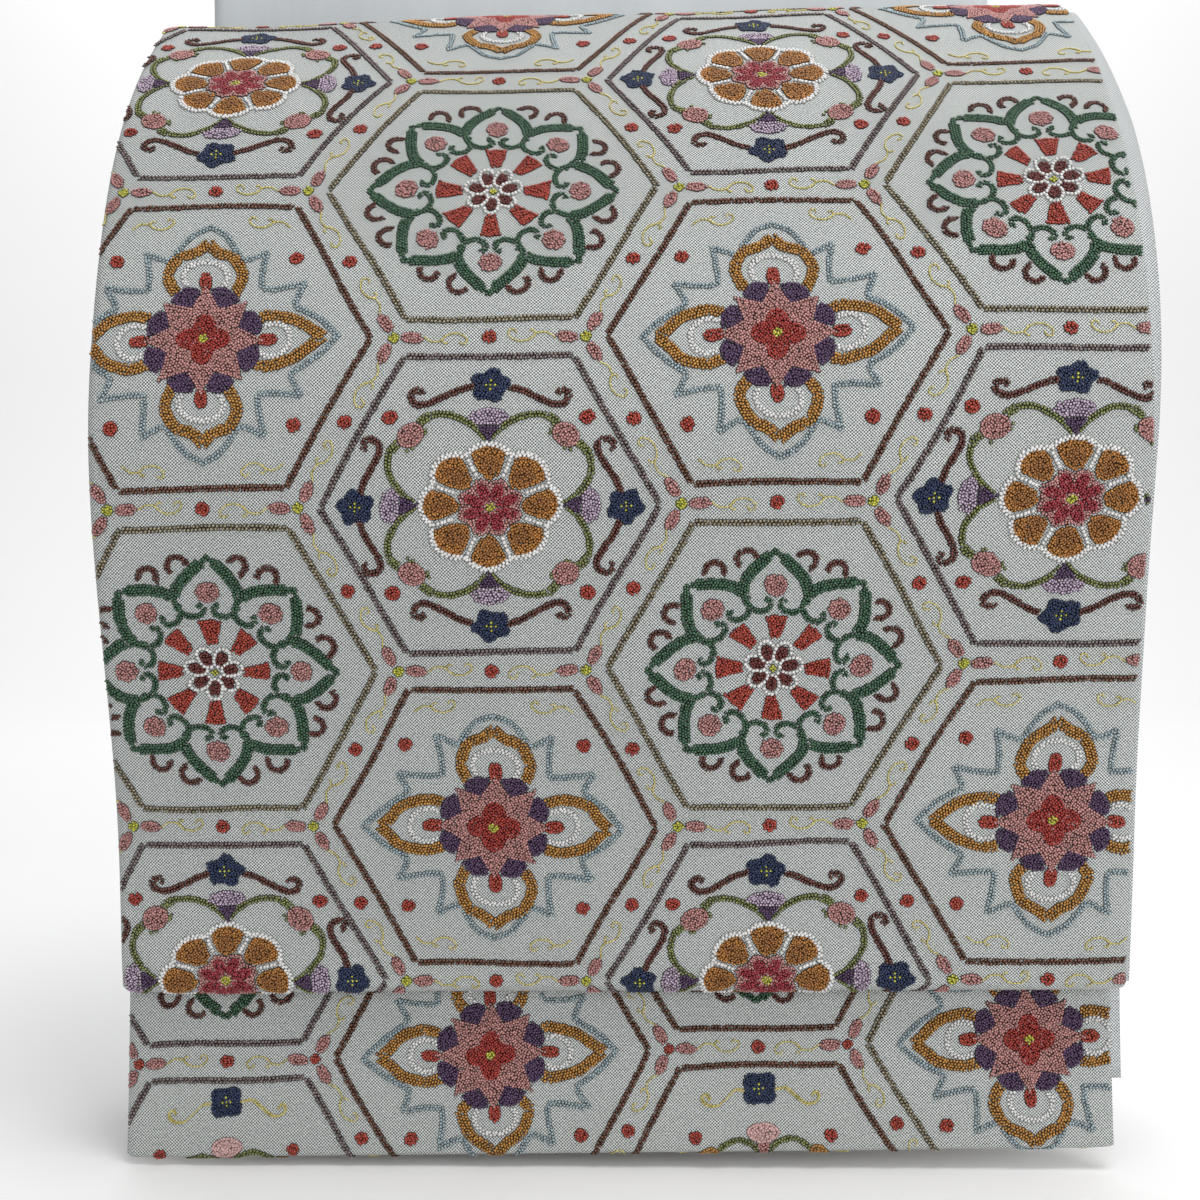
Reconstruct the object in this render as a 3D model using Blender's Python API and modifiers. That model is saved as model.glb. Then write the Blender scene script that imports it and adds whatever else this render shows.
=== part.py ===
"""Obi sash tied as a drum bow, laid over a padded rail on its cloth-covered stand.

Run with: blender --background --python part.py
Metres, +Z up, +X to the viewer's right, the viewer stands at -Y.
The origin is the middle of the underside of the stand's foot, which rests on the table.

The sash is one long double cloth: a figured front cloth and a plain back cloth.
From its hem it runs up behind as the tare, folds forward and down as the inner fold,
turns up round the lower fold into the drum's face, goes over the padded rail, and
drops behind it into the folded rest of its length.
"""
import math

import bmesh
import bpy
import numpy as np

# ---------------------------------------------------------------- driving sizes
COLLECTION = "obi_sash_on_stand"
GAP = 0.0003                  # clear space between neighbouring pieces

# the sash
FRONT_LEFT = -0.150           # selvedges of the figured front cloth
FRONT_RIGHT = 0.160
BACK_LEFT = -0.1488           # the back cloth shows past the front cloth on the right
BACK_RIGHT = 0.1635
FRONT_WALL = 0.0012
BACK_WALL = 0.0010
DOUBLE_WALL = FRONT_WALL + GAP + BACK_WALL
STRIPS_ACROSS = 8             # facets across the width

# the drum's lower fold, measured to the outside of the front cloth
FOLD_RADIUS = 0.0034
FOLD_LIP = 0.0015             # straight run of cloth up from the fold, before the inner fold
FOLD_BOTTOM = 0.0565
FOLD_BOTTOM_RISE = 0.0012     # higher on the right, lower on the left
FOLD_DEPTH = -0.0078          # front of the fold, behind (+) or before (-) the tare's plane
FOLD_SKEW = -0.0030           # the right end stands nearer to the viewer
FACE_LENGTH = 0.3465          # cloth from the lower fold to where it meets the rail

# how the drum's face leans: 90 is upright, more leans out to the viewer on its way up
FACE_LEAN = (
    # share of the face, left, middle, right (degrees)
    (0.000, 92.0, 97.0, 93.0),
    (0.150, 100.5, 101.5, 96.0),
    (0.300, 107.0, 105.0, 100.0),
    (0.445, 99.0, 98.0, 101.0),
    (0.590, 79.0, 78.0, 82.0),
    (0.735, 68.0, 66.5, 64.5),
    (0.880, 49.0, 50.0, 50.0),
    (1.000, 40.0, 40.0, 40.0),
)

# the rail's padded top, measured to the outside of the cloth that lies on it
CREST_DEPTH = 0.052
CREST_HEIGHT = 0.3607         # centre of the rounding, at the middle of the width
CREST_RISE = 0.0043           # the pad is fuller on the right
CREST_RADIUS = 0.022
CREST_LEAN = 40.0             # lean where the face runs onto the pad
REAR_END = 0.3170             # where the sheet goes down into the folded rest

# the inner fold and the tare
INNER_TOP = 0.166             # top of the inner fold's straight run
INNER_TURN = 0.0007           # radius inside the inner fold's top turn
TARE_HEM = 0.0047             # height of the hem, at the middle
TARE_HEM_RISE = 0.0026        # the hem hangs lower on the left
TARE_SWING = -0.0040          # the hem comes forward of the tare's top
HEM_RADIUS = 0.0015
HEM_TURNING = 0.0125          # front cloth turned up behind the hem

# the rest of the sash, folded flat behind the rail's posts
REST_LAYERS = 9
REST_FRONT = 0.0545
REST_BACK = 0.0740
REST_BOTTOM = 0.0123
REST_TOP = 0.3160
REST_CORNER = 0.006
REST_GROOVE = 0.0008          # how far the layers' edges stand out of the grooves between
LAYER_UNEVEN = (0.0, 0.0012, 0.0004, 0.0018, 0.0007, 0.0014, 0.0002, 0.0010, 0.0)

# the stand
SET_BACK = 0.092              # from the tare's plane to the middle of the foot
FOOT_WIDTH = 0.270
FOOT_LENGTH = 0.140
FOOT_HEIGHT = 0.012
POST_RADIUS = 0.006
POST_DEPTH = 0.036
POST_SPREAD = 0.090
BAR_WIDTH = 0.270
BAR_FRONT = 0.030
BAR_BACK = 0.0665
BAR_BOTTOM = 0.3185
BAR_TOP = 0.3305
PAD_LEFT = -0.140
PAD_RIGHT = 0.150
BOARD_HALF_WIDTH = 0.1415
BOARD_FRONT = 0.0765
BOARD_BACK = 0.0885
BOARD_TOP = 0.440
BOARD_CORNER = 0.022

# colours
FIGURED_CLOTH = (0.56, 0.58, 0.56)
PLAIN_CLOTH = (0.62, 0.64, 0.64)
COVER_CLOTH = (0.60, 0.62, 0.61)
PALE_WOOD = (0.50, 0.36, 0.22)


# ---------------------------------------------------------------- curves along the sash
def through(knots, values, at):
    """A smooth curve through a table's column."""
    slopes = np.gradient(values, knots)
    left = np.clip(np.searchsorted(knots, at, side="right") - 1, 0, len(knots) - 2)
    span = knots[left + 1] - knots[left]
    f = (at - knots[left]) / span
    return ((1 + 2 * f) * (1 - f) ** 2 * values[left] + f * (1 - f) ** 2 * span * slopes[left]
            + f ** 2 * (3 - 2 * f) * values[left + 1] + f ** 2 * (f - 1) * span * slopes[left + 1])


def side_to_side(x):
    """-1 at the sash's left edge, 1 at its right edge."""
    middle = (FRONT_LEFT + FRONT_RIGHT) / 2
    return (x - middle) / ((FRONT_RIGHT - FRONT_LEFT) / 2)


def arc(centre, radius, start, end, steps):
    """Points round a centre; 0 degrees is behind it, 90 degrees is above it."""
    turns = np.radians(np.linspace(start, end, steps + 1))
    return np.column_stack((centre[0] + radius * np.cos(turns), centre[1] + radius * np.sin(turns)))


def face_run(side, start, end, steps):
    """The drum's face from the lower fold to the pad, at one place across the width."""
    table = np.array(FACE_LEAN)
    across = np.array([through(np.array([-1.0, 0.0, 1.0]), row[1:], np.array([side]))[0]
                       for row in table])
    fine = 12 * steps
    middles = (np.arange(fine) + 0.5) / fine
    lean = np.radians(through(table[:, 0], across, middles))
    stride = FACE_LENGTH / fine
    walk = np.zeros((fine + 1, 2))
    walk[1:, 0] = np.cumsum(np.cos(lean)) * stride
    walk[1:, 1] = np.cumsum(np.sin(lean)) * stride
    share = np.linspace(0, 1, fine + 1)[:, None]
    miss = np.array(end) - np.array(start) - walk[-1]
    return (np.array(start) + walk + miss * share ** 1.5)[::12]


def drum_run(x):
    """Depth and height along the drum, outside of the front cloth, lower fold to rear end."""
    side = side_to_side(x)
    fold = (FOLD_DEPTH + FOLD_SKEW * side + FOLD_RADIUS,
            FOLD_BOTTOM + FOLD_BOTTOM_RISE * side + FOLD_RADIUS)
    crest = (CREST_DEPTH, CREST_HEIGHT + CREST_RISE * side)
    lip = np.array([[fold[0] + FOLD_RADIUS, fold[1] + FOLD_LIP]])
    turn = arc(fold, FOLD_RADIUS, 0, -180, 8)
    over = arc(crest, CREST_RADIUS, 90 + CREST_LEAN, 0, 10)
    face = face_run(side, turn[-1], over[0], 22)
    rear = np.array([[over[-1, 0], REAR_END]])
    return np.vstack((lip, turn, face[1:], over[1:], rear))


def inner_run(x):
    """The inner fold's right side, from the lower fold up and over its top turn."""
    side = side_to_side(x)
    depth = FOLD_DEPTH + FOLD_SKEW * side + 2 * FOLD_RADIUS
    low = FOLD_BOTTOM + FOLD_BOTTOM_RISE * side + FOLD_RADIUS + FOLD_LIP + GAP
    climb = np.column_stack((np.full(7, depth), np.linspace(low, INNER_TOP, 7)))
    turn = arc((depth + INNER_TURN, INNER_TOP), INNER_TURN, 180, 0, 6)
    return np.vstack((climb, turn[1:]))


def tare_depth(x, height):
    """The front of the tare: level with the inner fold at its top, forward at its hem."""
    side = side_to_side(x)
    top = FOLD_DEPTH + FOLD_SKEW * side + 2 * FOLD_RADIUS + 2 * INNER_TURN
    below = np.clip((0.075 - height) / 0.075, 0, 1)
    return top + TARE_SWING * below ** 1.5


def tare_run(x):
    """The tare from the turned-up edge behind its hem, round the hem, up to its top."""
    side = side_to_side(x)
    hem = TARE_HEM + TARE_HEM_RISE * side + HEM_RADIUS
    front = tare_depth(x, hem)
    turn = arc((front + HEM_RADIUS, hem), HEM_RADIUS, 0, -180, 6)
    heights = np.linspace(hem, INNER_TOP - GAP, 13)
    climb = np.column_stack((tare_depth(x, heights), heights))
    rear_heights = np.linspace(hem + HEM_TURNING, hem, 3)[:-1]
    rear = np.column_stack((tare_depth(x, rear_heights) + 2 * HEM_RADIUS, rear_heights))
    return np.vstack((rear, turn, climb[1:]))


def tare_back_run(x):
    """The back cloth of the tare, above the turned-up edge."""
    low = TARE_HEM + TARE_HEM_RISE * side_to_side(x) + HEM_RADIUS + HEM_TURNING + GAP
    heights = np.linspace(low, INNER_TOP - GAP, 12)
    return np.column_stack((tare_depth(x, heights), heights))


def moved_in(run, distance):
    """A run's points moved off its right side, into the sash."""
    along = np.gradient(run, axis=0, edge_order=2)
    along /= np.linalg.norm(along, axis=1)[:, None]
    inward = np.column_stack((along[:, 1], -along[:, 0]))
    return run + inward * distance


# ---------------------------------------------------------------- building
def finish(name, colour, roughness):
    material = bpy.data.materials.new(name)
    material.use_nodes = True
    shader = material.node_tree.nodes["Principled BSDF"]
    shader.inputs["Base Color"].default_value = (*colour, 1.0)
    shader.inputs["Roughness"].default_value = roughness
    shader.inputs["Metallic"].default_value = 0.0
    return material


def add_piece(name, mesh, colour, roughness):
    piece = bpy.data.objects.new(name, mesh)
    mesh.materials.append(finish(name, colour, roughness))
    bpy.data.collections[COLLECTION].objects.link(piece)
    return piece


def mesh_of(name, bm):
    mesh = bpy.data.meshes.new(name)
    bm.to_mesh(mesh)
    bm.free()
    return mesh


def cloth(name, run, left, right, inset, wall, colour):
    """A strip of cloth with its right side on the run, moved in by inset, wall thick."""
    stations = np.linspace(left, right, STRIPS_ACROSS + 1)
    runs = [moved_in(run(x), inset) if inset else run(x) for x in stations]
    steps = len(runs[0]) - 1
    bm = bmesh.new()
    bmesh.ops.create_grid(bm, x_segments=STRIPS_ACROSS, y_segments=steps, size=1.0)
    for vert in bm.verts:
        column = round((vert.co.x + 1) / 2 * STRIPS_ACROSS)
        row = round((vert.co.y + 1) / 2 * steps)
        depth, height = runs[column][row]
        vert.co = (stations[column], depth - SET_BACK, height)
    piece = add_piece(name, mesh_of(name, bm), colour, 0.85)
    solid = piece.modifiers.new("Wall", "SOLIDIFY")
    solid.thickness = wall
    solid.offset = -1.0
    solid.use_even_offset = True
    return piece


def rounded_ring(bm, depth, left, right, bottom, top, corner):
    """A ring of vertices round a rectangle with round corners, seen from the front."""
    corners = ((right - corner, top - corner, 0), (left + corner, top - corner, 90),
               (left + corner, bottom + corner, 180), (right - corner, bottom + corner, 270))
    verts = []
    for x, z, start in corners:
        for turn in np.radians(np.linspace(start, start + 90, 4)):
            place = (x + corner * math.cos(turn), depth - SET_BACK, z + corner * math.sin(turn))
            verts.append(bm.verts.new(place))
    for a, b in zip(verts, verts[1:] + verts[:1]):
        bm.edges.new((a, b))
    return verts


def skin(bm, rings):
    """Walls between neighbouring rings and a cap on each end, faces outward."""
    for ring, following in zip(rings, rings[1:]):
        edges = set()
        for loop in (ring, following):
            edges.update(bm.edges.get((a, b)) for a, b in zip(loop, loop[1:] + loop[:1]))
        bmesh.ops.bridge_loops(bm, edges=list(edges))
    bm.faces.new(rings[0])
    bm.faces.new(rings[-1])
    bmesh.ops.recalc_face_normals(bm, faces=bm.faces)


def folded_rest():
    """The rest of the sash folded flat: one solid whose layers show at its edges."""
    layer = (REST_BACK - REST_FRONT) / REST_LAYERS
    bm = bmesh.new()
    rings = []
    for index, uneven in enumerate(LAYER_UNEVEN):
        near = REST_FRONT + index * layer
        for place, groove in ((0.0, REST_GROOVE), (0.3, 0.0), (0.7, 0.0)):
            inset = groove + uneven
            rings.append(rounded_ring(bm, near + place * layer, FRONT_LEFT + inset,
                                      FRONT_RIGHT - inset, REST_BOTTOM,
                                      REST_TOP - inset, REST_CORNER))
    rings.append(rounded_ring(bm, REST_BACK, FRONT_LEFT + REST_GROOVE,
                              FRONT_RIGHT - REST_GROOVE, REST_BOTTOM,
                              REST_TOP - REST_GROOVE, REST_CORNER))
    skin(bm, rings)
    return add_piece("folded_rest", mesh_of("folded_rest", bm), FIGURED_CLOTH, 0.85)


def box(name, low, high, colour, edge):
    """A block between two corners with softened edges."""
    size = [b - a for a, b in zip(low, high)]
    bm = bmesh.new()
    bmesh.ops.create_cube(bm, size=1.0)
    bmesh.ops.scale(bm, vec=size, verts=bm.verts)
    piece = add_piece(name, mesh_of(name, bm), colour, 0.5)
    piece.location = [(a + b) / 2 for a, b in zip(low, high)]
    soften(piece, edge)
    return piece


def soften(piece, width):
    bevel = piece.modifiers.new("Soft edges", "BEVEL")
    bevel.width = width
    bevel.segments = 3
    bevel.limit_method = "ANGLE"
    bevel.angle_limit = math.radians(40)


def stand_foot():
    half = FOOT_LENGTH / 2
    box("stand_foot", (-FOOT_WIDTH / 2, -half, 0.0), (FOOT_WIDTH / 2, half, FOOT_HEIGHT),
        PALE_WOOD, 0.002)


def stand_posts():
    """Two round posts that carry the rail, between the tare and the folded rest."""
    low = FOOT_HEIGHT + GAP
    high = BAR_BOTTOM - GAP
    for name, x in (("stand_post_left", -POST_SPREAD), ("stand_post_right", POST_SPREAD)):
        bm = bmesh.new()
        bmesh.ops.create_cone(bm, cap_ends=True, segments=20, radius1=POST_RADIUS,
                              radius2=POST_RADIUS, depth=high - low)
        post = add_piece(name, mesh_of(name, bm), PALE_WOOD, 0.5)
        post.location = (x, POST_DEPTH - SET_BACK, (low + high) / 2)


def stand_bar():
    box("stand_bar", (-BAR_WIDTH / 2, BAR_FRONT - SET_BACK, BAR_BOTTOM),
        (BAR_WIDTH / 2, BAR_BACK - SET_BACK, BAR_TOP), PALE_WOOD, 0.002)


def stand_pad():
    """The padded top of the rail: flat below, round above, fuller on the right."""
    radius = CREST_RADIUS - DOUBLE_WALL - 2 * GAP
    bottom = BAR_TOP + GAP
    bm = bmesh.new()
    rings = []
    for x in (PAD_LEFT, PAD_RIGHT):
        centre = (CREST_DEPTH, CREST_HEIGHT + CREST_RISE * side_to_side(x))
        top = arc(centre, radius, 180, 0, 14)
        corner = 0.4 * radius
        low = [(CREST_DEPTH + radius, bottom + corner), (CREST_DEPTH + radius - corner, bottom),
               (CREST_DEPTH - radius + corner, bottom), (CREST_DEPTH - radius, bottom + corner)]
        verts = [bm.verts.new((x, depth - SET_BACK, height)) for depth, height in (*top, *low)]
        for a, b in zip(verts, verts[1:] + verts[:1]):
            bm.edges.new((a, b))
        rings.append(verts)
    skin(bm, rings)
    pad = add_piece("stand_pad", mesh_of("stand_pad", bm), COVER_CLOTH, 0.85)
    soften(pad, 0.003)


def stand_board():
    """The cloth-covered upright behind the sash, with rounded upper corners."""
    bottom = FOOT_HEIGHT + GAP
    size = (2 * BOARD_HALF_WIDTH, BOARD_BACK - BOARD_FRONT, BOARD_TOP - bottom)
    bm = bmesh.new()
    bmesh.ops.create_cube(bm, size=1.0)
    bmesh.ops.scale(bm, vec=size, verts=bm.verts)
    corners = [edge for edge in bm.edges
               if all(v.co.z > 0 for v in edge.verts)
               and abs(edge.verts[0].co.x - edge.verts[1].co.x) < GAP]
    bmesh.ops.bevel(bm, geom=corners, affect="EDGES", offset=BOARD_CORNER, segments=6,
                    profile=0.5, material=-1)
    board = add_piece("stand_board", mesh_of("stand_board", bm), COVER_CLOTH, 0.8)
    board.location = (0.0, (BOARD_FRONT + BOARD_BACK) / 2 - SET_BACK, (bottom + BOARD_TOP) / 2)
    soften(board, 0.004)


def clear_scene():
    for old in list(bpy.data.objects):
        bpy.data.objects.remove(old, do_unlink=True)


def main():
    clear_scene()
    collection = bpy.data.collections.new(COLLECTION)
    bpy.context.scene.collection.children.link(collection)
    under = FRONT_WALL + GAP
    cloth("drum_front", drum_run, FRONT_LEFT, FRONT_RIGHT, 0.0, FRONT_WALL, FIGURED_CLOTH)
    cloth("drum_back_cloth", drum_run, BACK_LEFT, BACK_RIGHT, under, BACK_WALL, PLAIN_CLOTH)
    cloth("inner_fold", inner_run, FRONT_LEFT + 0.0005, FRONT_RIGHT - 0.0005, 0.0,
          -DOUBLE_WALL, PLAIN_CLOTH)
    cloth("tare_front", tare_run, FRONT_LEFT, FRONT_RIGHT, 0.0, FRONT_WALL, FIGURED_CLOTH)
    cloth("tare_back_cloth", tare_back_run, BACK_LEFT, BACK_RIGHT, under, BACK_WALL, PLAIN_CLOTH)
    folded_rest()
    stand_foot()
    stand_posts()
    stand_bar()
    stand_pad()
    stand_board()


main()
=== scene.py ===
"""Obi sash tied as a drum bow, laid over a padded rail on its cloth-covered stand.

Metres, +Z up, +X to the viewer's right; the viewer stands at -Y.
The sash is one long figured cloth lined with a plain back cloth.  Both are bent along the
same line: up behind the rail, over its pad, down the drum's face, round the lower fold, up
inside, over the inner fold's top turn and down the tail to the turned-up hem.
The figure is knotted embroidery: hexagons with three flower designs, channels between them.
"""
import math
import random

import bmesh
import bpy
import numpy as np
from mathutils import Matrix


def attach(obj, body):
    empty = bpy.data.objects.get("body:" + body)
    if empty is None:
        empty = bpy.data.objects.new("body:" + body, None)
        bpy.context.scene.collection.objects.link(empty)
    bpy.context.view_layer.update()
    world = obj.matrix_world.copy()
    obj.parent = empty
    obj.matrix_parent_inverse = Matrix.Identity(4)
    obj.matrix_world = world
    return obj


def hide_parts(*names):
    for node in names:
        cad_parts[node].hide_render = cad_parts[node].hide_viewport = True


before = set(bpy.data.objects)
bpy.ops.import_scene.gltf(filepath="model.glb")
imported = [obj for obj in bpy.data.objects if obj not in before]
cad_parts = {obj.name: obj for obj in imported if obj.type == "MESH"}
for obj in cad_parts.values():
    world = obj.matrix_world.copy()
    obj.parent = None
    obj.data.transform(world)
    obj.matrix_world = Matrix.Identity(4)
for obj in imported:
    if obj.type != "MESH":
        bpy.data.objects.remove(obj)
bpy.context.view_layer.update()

rng = np.random.default_rng(23)
dice = random.Random(7)

# ---------------------------------------------------------------- sizes, as in the part
GAP = 0.0003
FRONT_LEFT = -0.150
FRONT_RIGHT = 0.160
BACK_LEFT = -0.1488
BACK_RIGHT = 0.1635
FRONT_WALL = 0.0011
BACK_WALL = 0.0009
BACK_INSET = 0.0015
FOLD_RADIUS = 0.0034
FOLD_BOTTOM = 0.0565
FOLD_BOTTOM_RISE = 0.0012
FOLD_DEPTH = -0.0078
FOLD_SKEW = -0.0030
FACE_LENGTH = 0.3465
FACE_LEAN = (
    # share of the face, left, middle, right (degrees; 90 is upright)
    (0.000, 92.0, 97.0, 93.0),
    (0.150, 100.5, 101.5, 96.0),
    (0.300, 107.0, 105.0, 100.0),
    (0.445, 99.0, 98.0, 101.0),
    (0.590, 79.0, 78.0, 82.0),
    (0.735, 68.0, 66.5, 64.5),
    (0.880, 49.0, 50.0, 50.0),
    (1.000, 40.0, 40.0, 40.0),
)
CREST_DEPTH = 0.052
CREST_HEIGHT = 0.3607
CREST_RISE = 0.0043
CREST_RADIUS = 0.022
CREST_LEAN = 40.0
REAR_END = 0.3170
INNER_TOP = 0.166
INNER_TURN = 0.0007
TARE_HEM = 0.0047
TARE_HEM_RISE = 0.0026
TARE_SWING = -0.0040
HEM_RADIUS = 0.0015
HEM_TURNING = 0.0125
REST_LAYERS = 9
REST_FRONT = 0.0545
REST_BACK = 0.0740
REST_BOTTOM = 0.0123
REST_TOP = 0.3160
SET_BACK = 0.092
BAR_TOP = 0.3305
PAD_LEFT = -0.140
PAD_RIGHT = 0.150
BOARD_HALF_WIDTH = 0.1415
BOARD_FRONT = 0.0765
BOARD_BACK = 0.0885
BOARD_BOTTOM = 0.0123
BOARD_TOP = 0.440
BOARD_CORNER = 0.022
COVER_WALL = 0.0006

# the figure's repeat, in centimetres on the cloth
CELL_STEP = 4.98              # half a hexagon's height
CELL_SIDE = 5.61              # centre to side corner
COLUMN_STEP = 8.42
FIRST_COLUMN = -11.65
CHANNEL = 1.15                # between neighbouring borders
KNOT = 0.115                  # one knot
STITCH = 0.132                # one couched gold stitch
FILL = 0.088                  # from knot to knot inside a shape
DOT_ANGLES = (45, 135, 225, 315)


# ---------------------------------------------------------------- the line the sash follows
def through(knots, values, at):
    """A smooth curve through a table's column."""
    slopes = np.gradient(values, knots)
    left = np.clip(np.searchsorted(knots, at, side="right") - 1, 0, len(knots) - 2)
    span = knots[left + 1] - knots[left]
    f = (at - knots[left]) / span
    return ((1 + 2 * f) * (1 - f) ** 2 * values[left] + f * (1 - f) ** 2 * span * slopes[left]
            + f ** 2 * (3 - 2 * f) * values[left + 1] + f ** 2 * (f - 1) * span * slopes[left + 1])


def side_to_side(x):
    """-1 at the sash's left edge, 1 at its right edge."""
    middle = (FRONT_LEFT + FRONT_RIGHT) / 2
    return (x - middle) / ((FRONT_RIGHT - FRONT_LEFT) / 2)


def arc(centre, radius, start, end, steps):
    """Points round a centre; 0 degrees is behind it, 90 degrees is above it."""
    turns = np.radians(np.linspace(start, end, steps + 1))
    return np.column_stack((centre[0] + radius * np.cos(turns),
                            centre[1] + radius * np.sin(turns)))


def face_run(side, start, end, steps):
    """The drum's face from the lower fold to the pad, at one place across the width."""
    table = np.array(FACE_LEAN)
    across = np.array([through(np.array([-1.0, 0.0, 1.0]), row[1:], np.array([side]))[0]
                       for row in table])
    fine = 4 * steps
    middles = (np.arange(fine) + 0.5) / fine
    lean = np.radians(through(table[:, 0], across, middles))
    stride = FACE_LENGTH / fine
    walk = np.zeros((fine + 1, 2))
    walk[1:, 0] = np.cumsum(np.cos(lean)) * stride
    walk[1:, 1] = np.cumsum(np.sin(lean)) * stride
    share = np.linspace(0, 1, fine + 1)[:, None]
    miss = np.array(end) - np.array(start) - walk[-1]
    return (np.array(start) + walk + miss * share ** 1.5)[::4]


def straight_run(start, end, steps):
    return np.linspace(start, end, steps + 1)


def sash_sections(x):
    """The sash's stretches in order from behind the rail to the turned-up hem."""
    side = side_to_side(x)
    fold = (FOLD_DEPTH + FOLD_SKEW * side + FOLD_RADIUS,
            FOLD_BOTTOM + FOLD_BOTTOM_RISE * side + FOLD_RADIUS)
    crest = (CREST_DEPTH, CREST_HEIGHT + CREST_RISE * side)
    over = arc(crest, CREST_RADIUS, 0, 90 + CREST_LEAN, 22)
    turn = arc(fold, FOLD_RADIUS, 180, 360, 20)
    face = face_run(side, turn[0], over[-1], 104)[::-1]
    rear = straight_run((over[0, 0], REAR_END), over[0], 6)
    depth = fold[0] + FOLD_RADIUS
    climb = straight_run(turn[-1], (depth, INNER_TOP), 14)
    back_over = arc((depth + INNER_TURN, INNER_TOP), INNER_TURN, 180, 0, 10)
    hem = TARE_HEM + TARE_HEM_RISE * side + HEM_RADIUS
    heights = np.linspace(INNER_TOP, hem, 49)
    top = depth + 2 * INNER_TURN
    below = np.clip((0.075 - heights) / 0.075, 0, 1)
    tail = np.column_stack((top + TARE_SWING * below ** 1.5, heights))
    hem_turn = arc((tail[-1, 0] + HEM_RADIUS, hem), HEM_RADIUS, 180, 360, 14)
    up = straight_run(hem_turn[-1], hem_turn[-1] + np.array([0.0008, HEM_TURNING]), 6)
    return [rear, over[1:], face[1:], turn[1:], climb[1:], back_over[1:], tail[1:],
            hem_turn[1:], up[1:]]


def measured(x):
    """One column of the sash: points, length along the cloth, and each stretch's last row."""
    sections = sash_sections(x)
    rows = np.cumsum([len(s) for s in sections]) - 1
    points = np.vstack(sections)
    steps = np.linalg.norm(np.diff(points, axis=0), axis=1)
    length = np.concatenate(([0.0], np.cumsum(steps)))
    return points, length, rows


STATIONS = np.linspace(FRONT_LEFT - 0.004, BACK_RIGHT + 0.004, 37)
COLUMNS = [measured(x) for x in STATIONS]
SECTION_ROWS = COLUMNS[0][2]
FOLD_TO_FIGURE = 0.0060       # the figure's line G lies this far above the lower fold
LOWEST = int(SECTION_ROWS[2] + 10)


def cloth_v(length):
    """Length along the cloth counted up from the figure's line G."""
    return length[LOWEST] - FOLD_TO_FIGURE - length


V_TABLE = [cloth_v(column[1]) for column in COLUMNS]
V_HEM = float(np.mean([v[int(SECTION_ROWS[6] + 7)] for v in V_TABLE]))


def unevenness(u, v):
    """How far the cloth stands off its line: soft waves, and edges that turn away."""
    slow = (0.00042 * np.sin(29.0 * u + 1.1) * np.sin(21.0 * v + 0.4)
            + 0.00030 * np.sin(47.0 * u - 31.0 * v + 2.0)
            + 0.00016 * np.sin(83.0 * v + 37.0 * u)
            + 0.00012 * np.sin(121.0 * u + 52.0 * v + 0.7))
    near_fold = np.exp(-((v - 0.02) / 0.022) ** 2)
    slow = slow + 0.00035 * near_fold * np.sin(36.0 * u + 0.5)
    still = np.clip((v + 0.004) / 0.012, 0, 1)
    tail = np.clip((V_HEM + 0.075 - v) / 0.03, 0, 1) * np.clip((v - V_HEM + 0.001) / 0.02, 0, 1)
    drop_right = 0.0009 * np.clip((u - 0.1525) / 0.010, 0, 1.2) ** 2
    drop_left = 0.0004 * np.clip((-0.1445 - u) / 0.006, 0, 1.2) ** 2
    return slow * (still + 0.8 * tail) - drop_right - drop_left


# how far the cloths' right edges spread outward: length along the cloth, front, back
SPREAD = ((-0.300, 0.0009, 0.0009), (-0.020, 0.0009, 0.0009), (0.000, 0.0031, 0.0012),
          (0.040, 0.0035, 0.0016), (0.160, 0.0035, 0.0016), (0.210, 0.0018, 0.0026),
          (0.275, 0.0008, 0.0027), (0.330, 0.0, 0.0006), (0.360, 0.0, 0.0))
SPREAD_FROM = 0.065
SPREAD_OVER = 0.095


def spread(u, v, back=False):
    """The cloth's places across, with its right side let out a little."""
    table = np.array(SPREAD)
    most = np.interp(v, table[:, 0], table[:, 2 if back else 1])
    share = np.clip((u - SPREAD_FROM) / SPREAD_OVER, 0, 1)
    return u + most * share * share * (3 - 2 * share)


def cloth_line(u, v):
    """Depth and height of the bare line under points of the cloth."""
    pitch = STATIONS[1] - STATIONS[0]
    slot = np.clip(((u - STATIONS[0]) / pitch).astype(int), 0, len(STATIONS) - 2)
    share = (u - STATIONS[slot]) / pitch
    place = np.zeros((len(u), 2))
    for column in range(len(STATIONS) - 1):
        here = slot == column
        if not here.any():
            continue
        for step, weight in ((0, 1 - share[here]), (1, share[here])):
            points = COLUMNS[column + step][0]
            along = V_TABLE[column + step]
            depth = np.interp(-v[here], -along, points[:, 0])
            height = np.interp(-v[here], -along, points[:, 1])
            place[here] += np.column_stack((depth, height)) * weight[:, None]
    return place


def on_cloth(u, v, lift=0.0):
    """World places on the figured cloth's right side, lifted off it by lift."""
    u = np.asarray(u, dtype=float)
    v = np.asarray(v, dtype=float)
    step = 0.00015
    ahead = cloth_line(u, v + step)
    behind = cloth_line(u, v - step)
    up = ahead - behind
    up /= np.maximum(np.linalg.norm(up, axis=1), 1e-9)[:, None]
    out = np.column_stack((-up[:, 1], up[:, 0]))
    off = (unevenness(u, v) + lift)[:, None]
    place = (ahead + behind) / 2 + out * off
    return np.column_stack((spread(u, v), place[:, 0] - SET_BACK, place[:, 1]))


# ---------------------------------------------------------------- colours and materials
def dye(red, green, blue):
    """A thread's colour given in sRGB, 0 to 255, made linear."""
    shares = [c / 255 for c in (red, green, blue)]
    return tuple(c / 12.92 if c <= 0.04045 else ((c + 0.055) / 1.055) ** 2.4 for c in shares)


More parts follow.
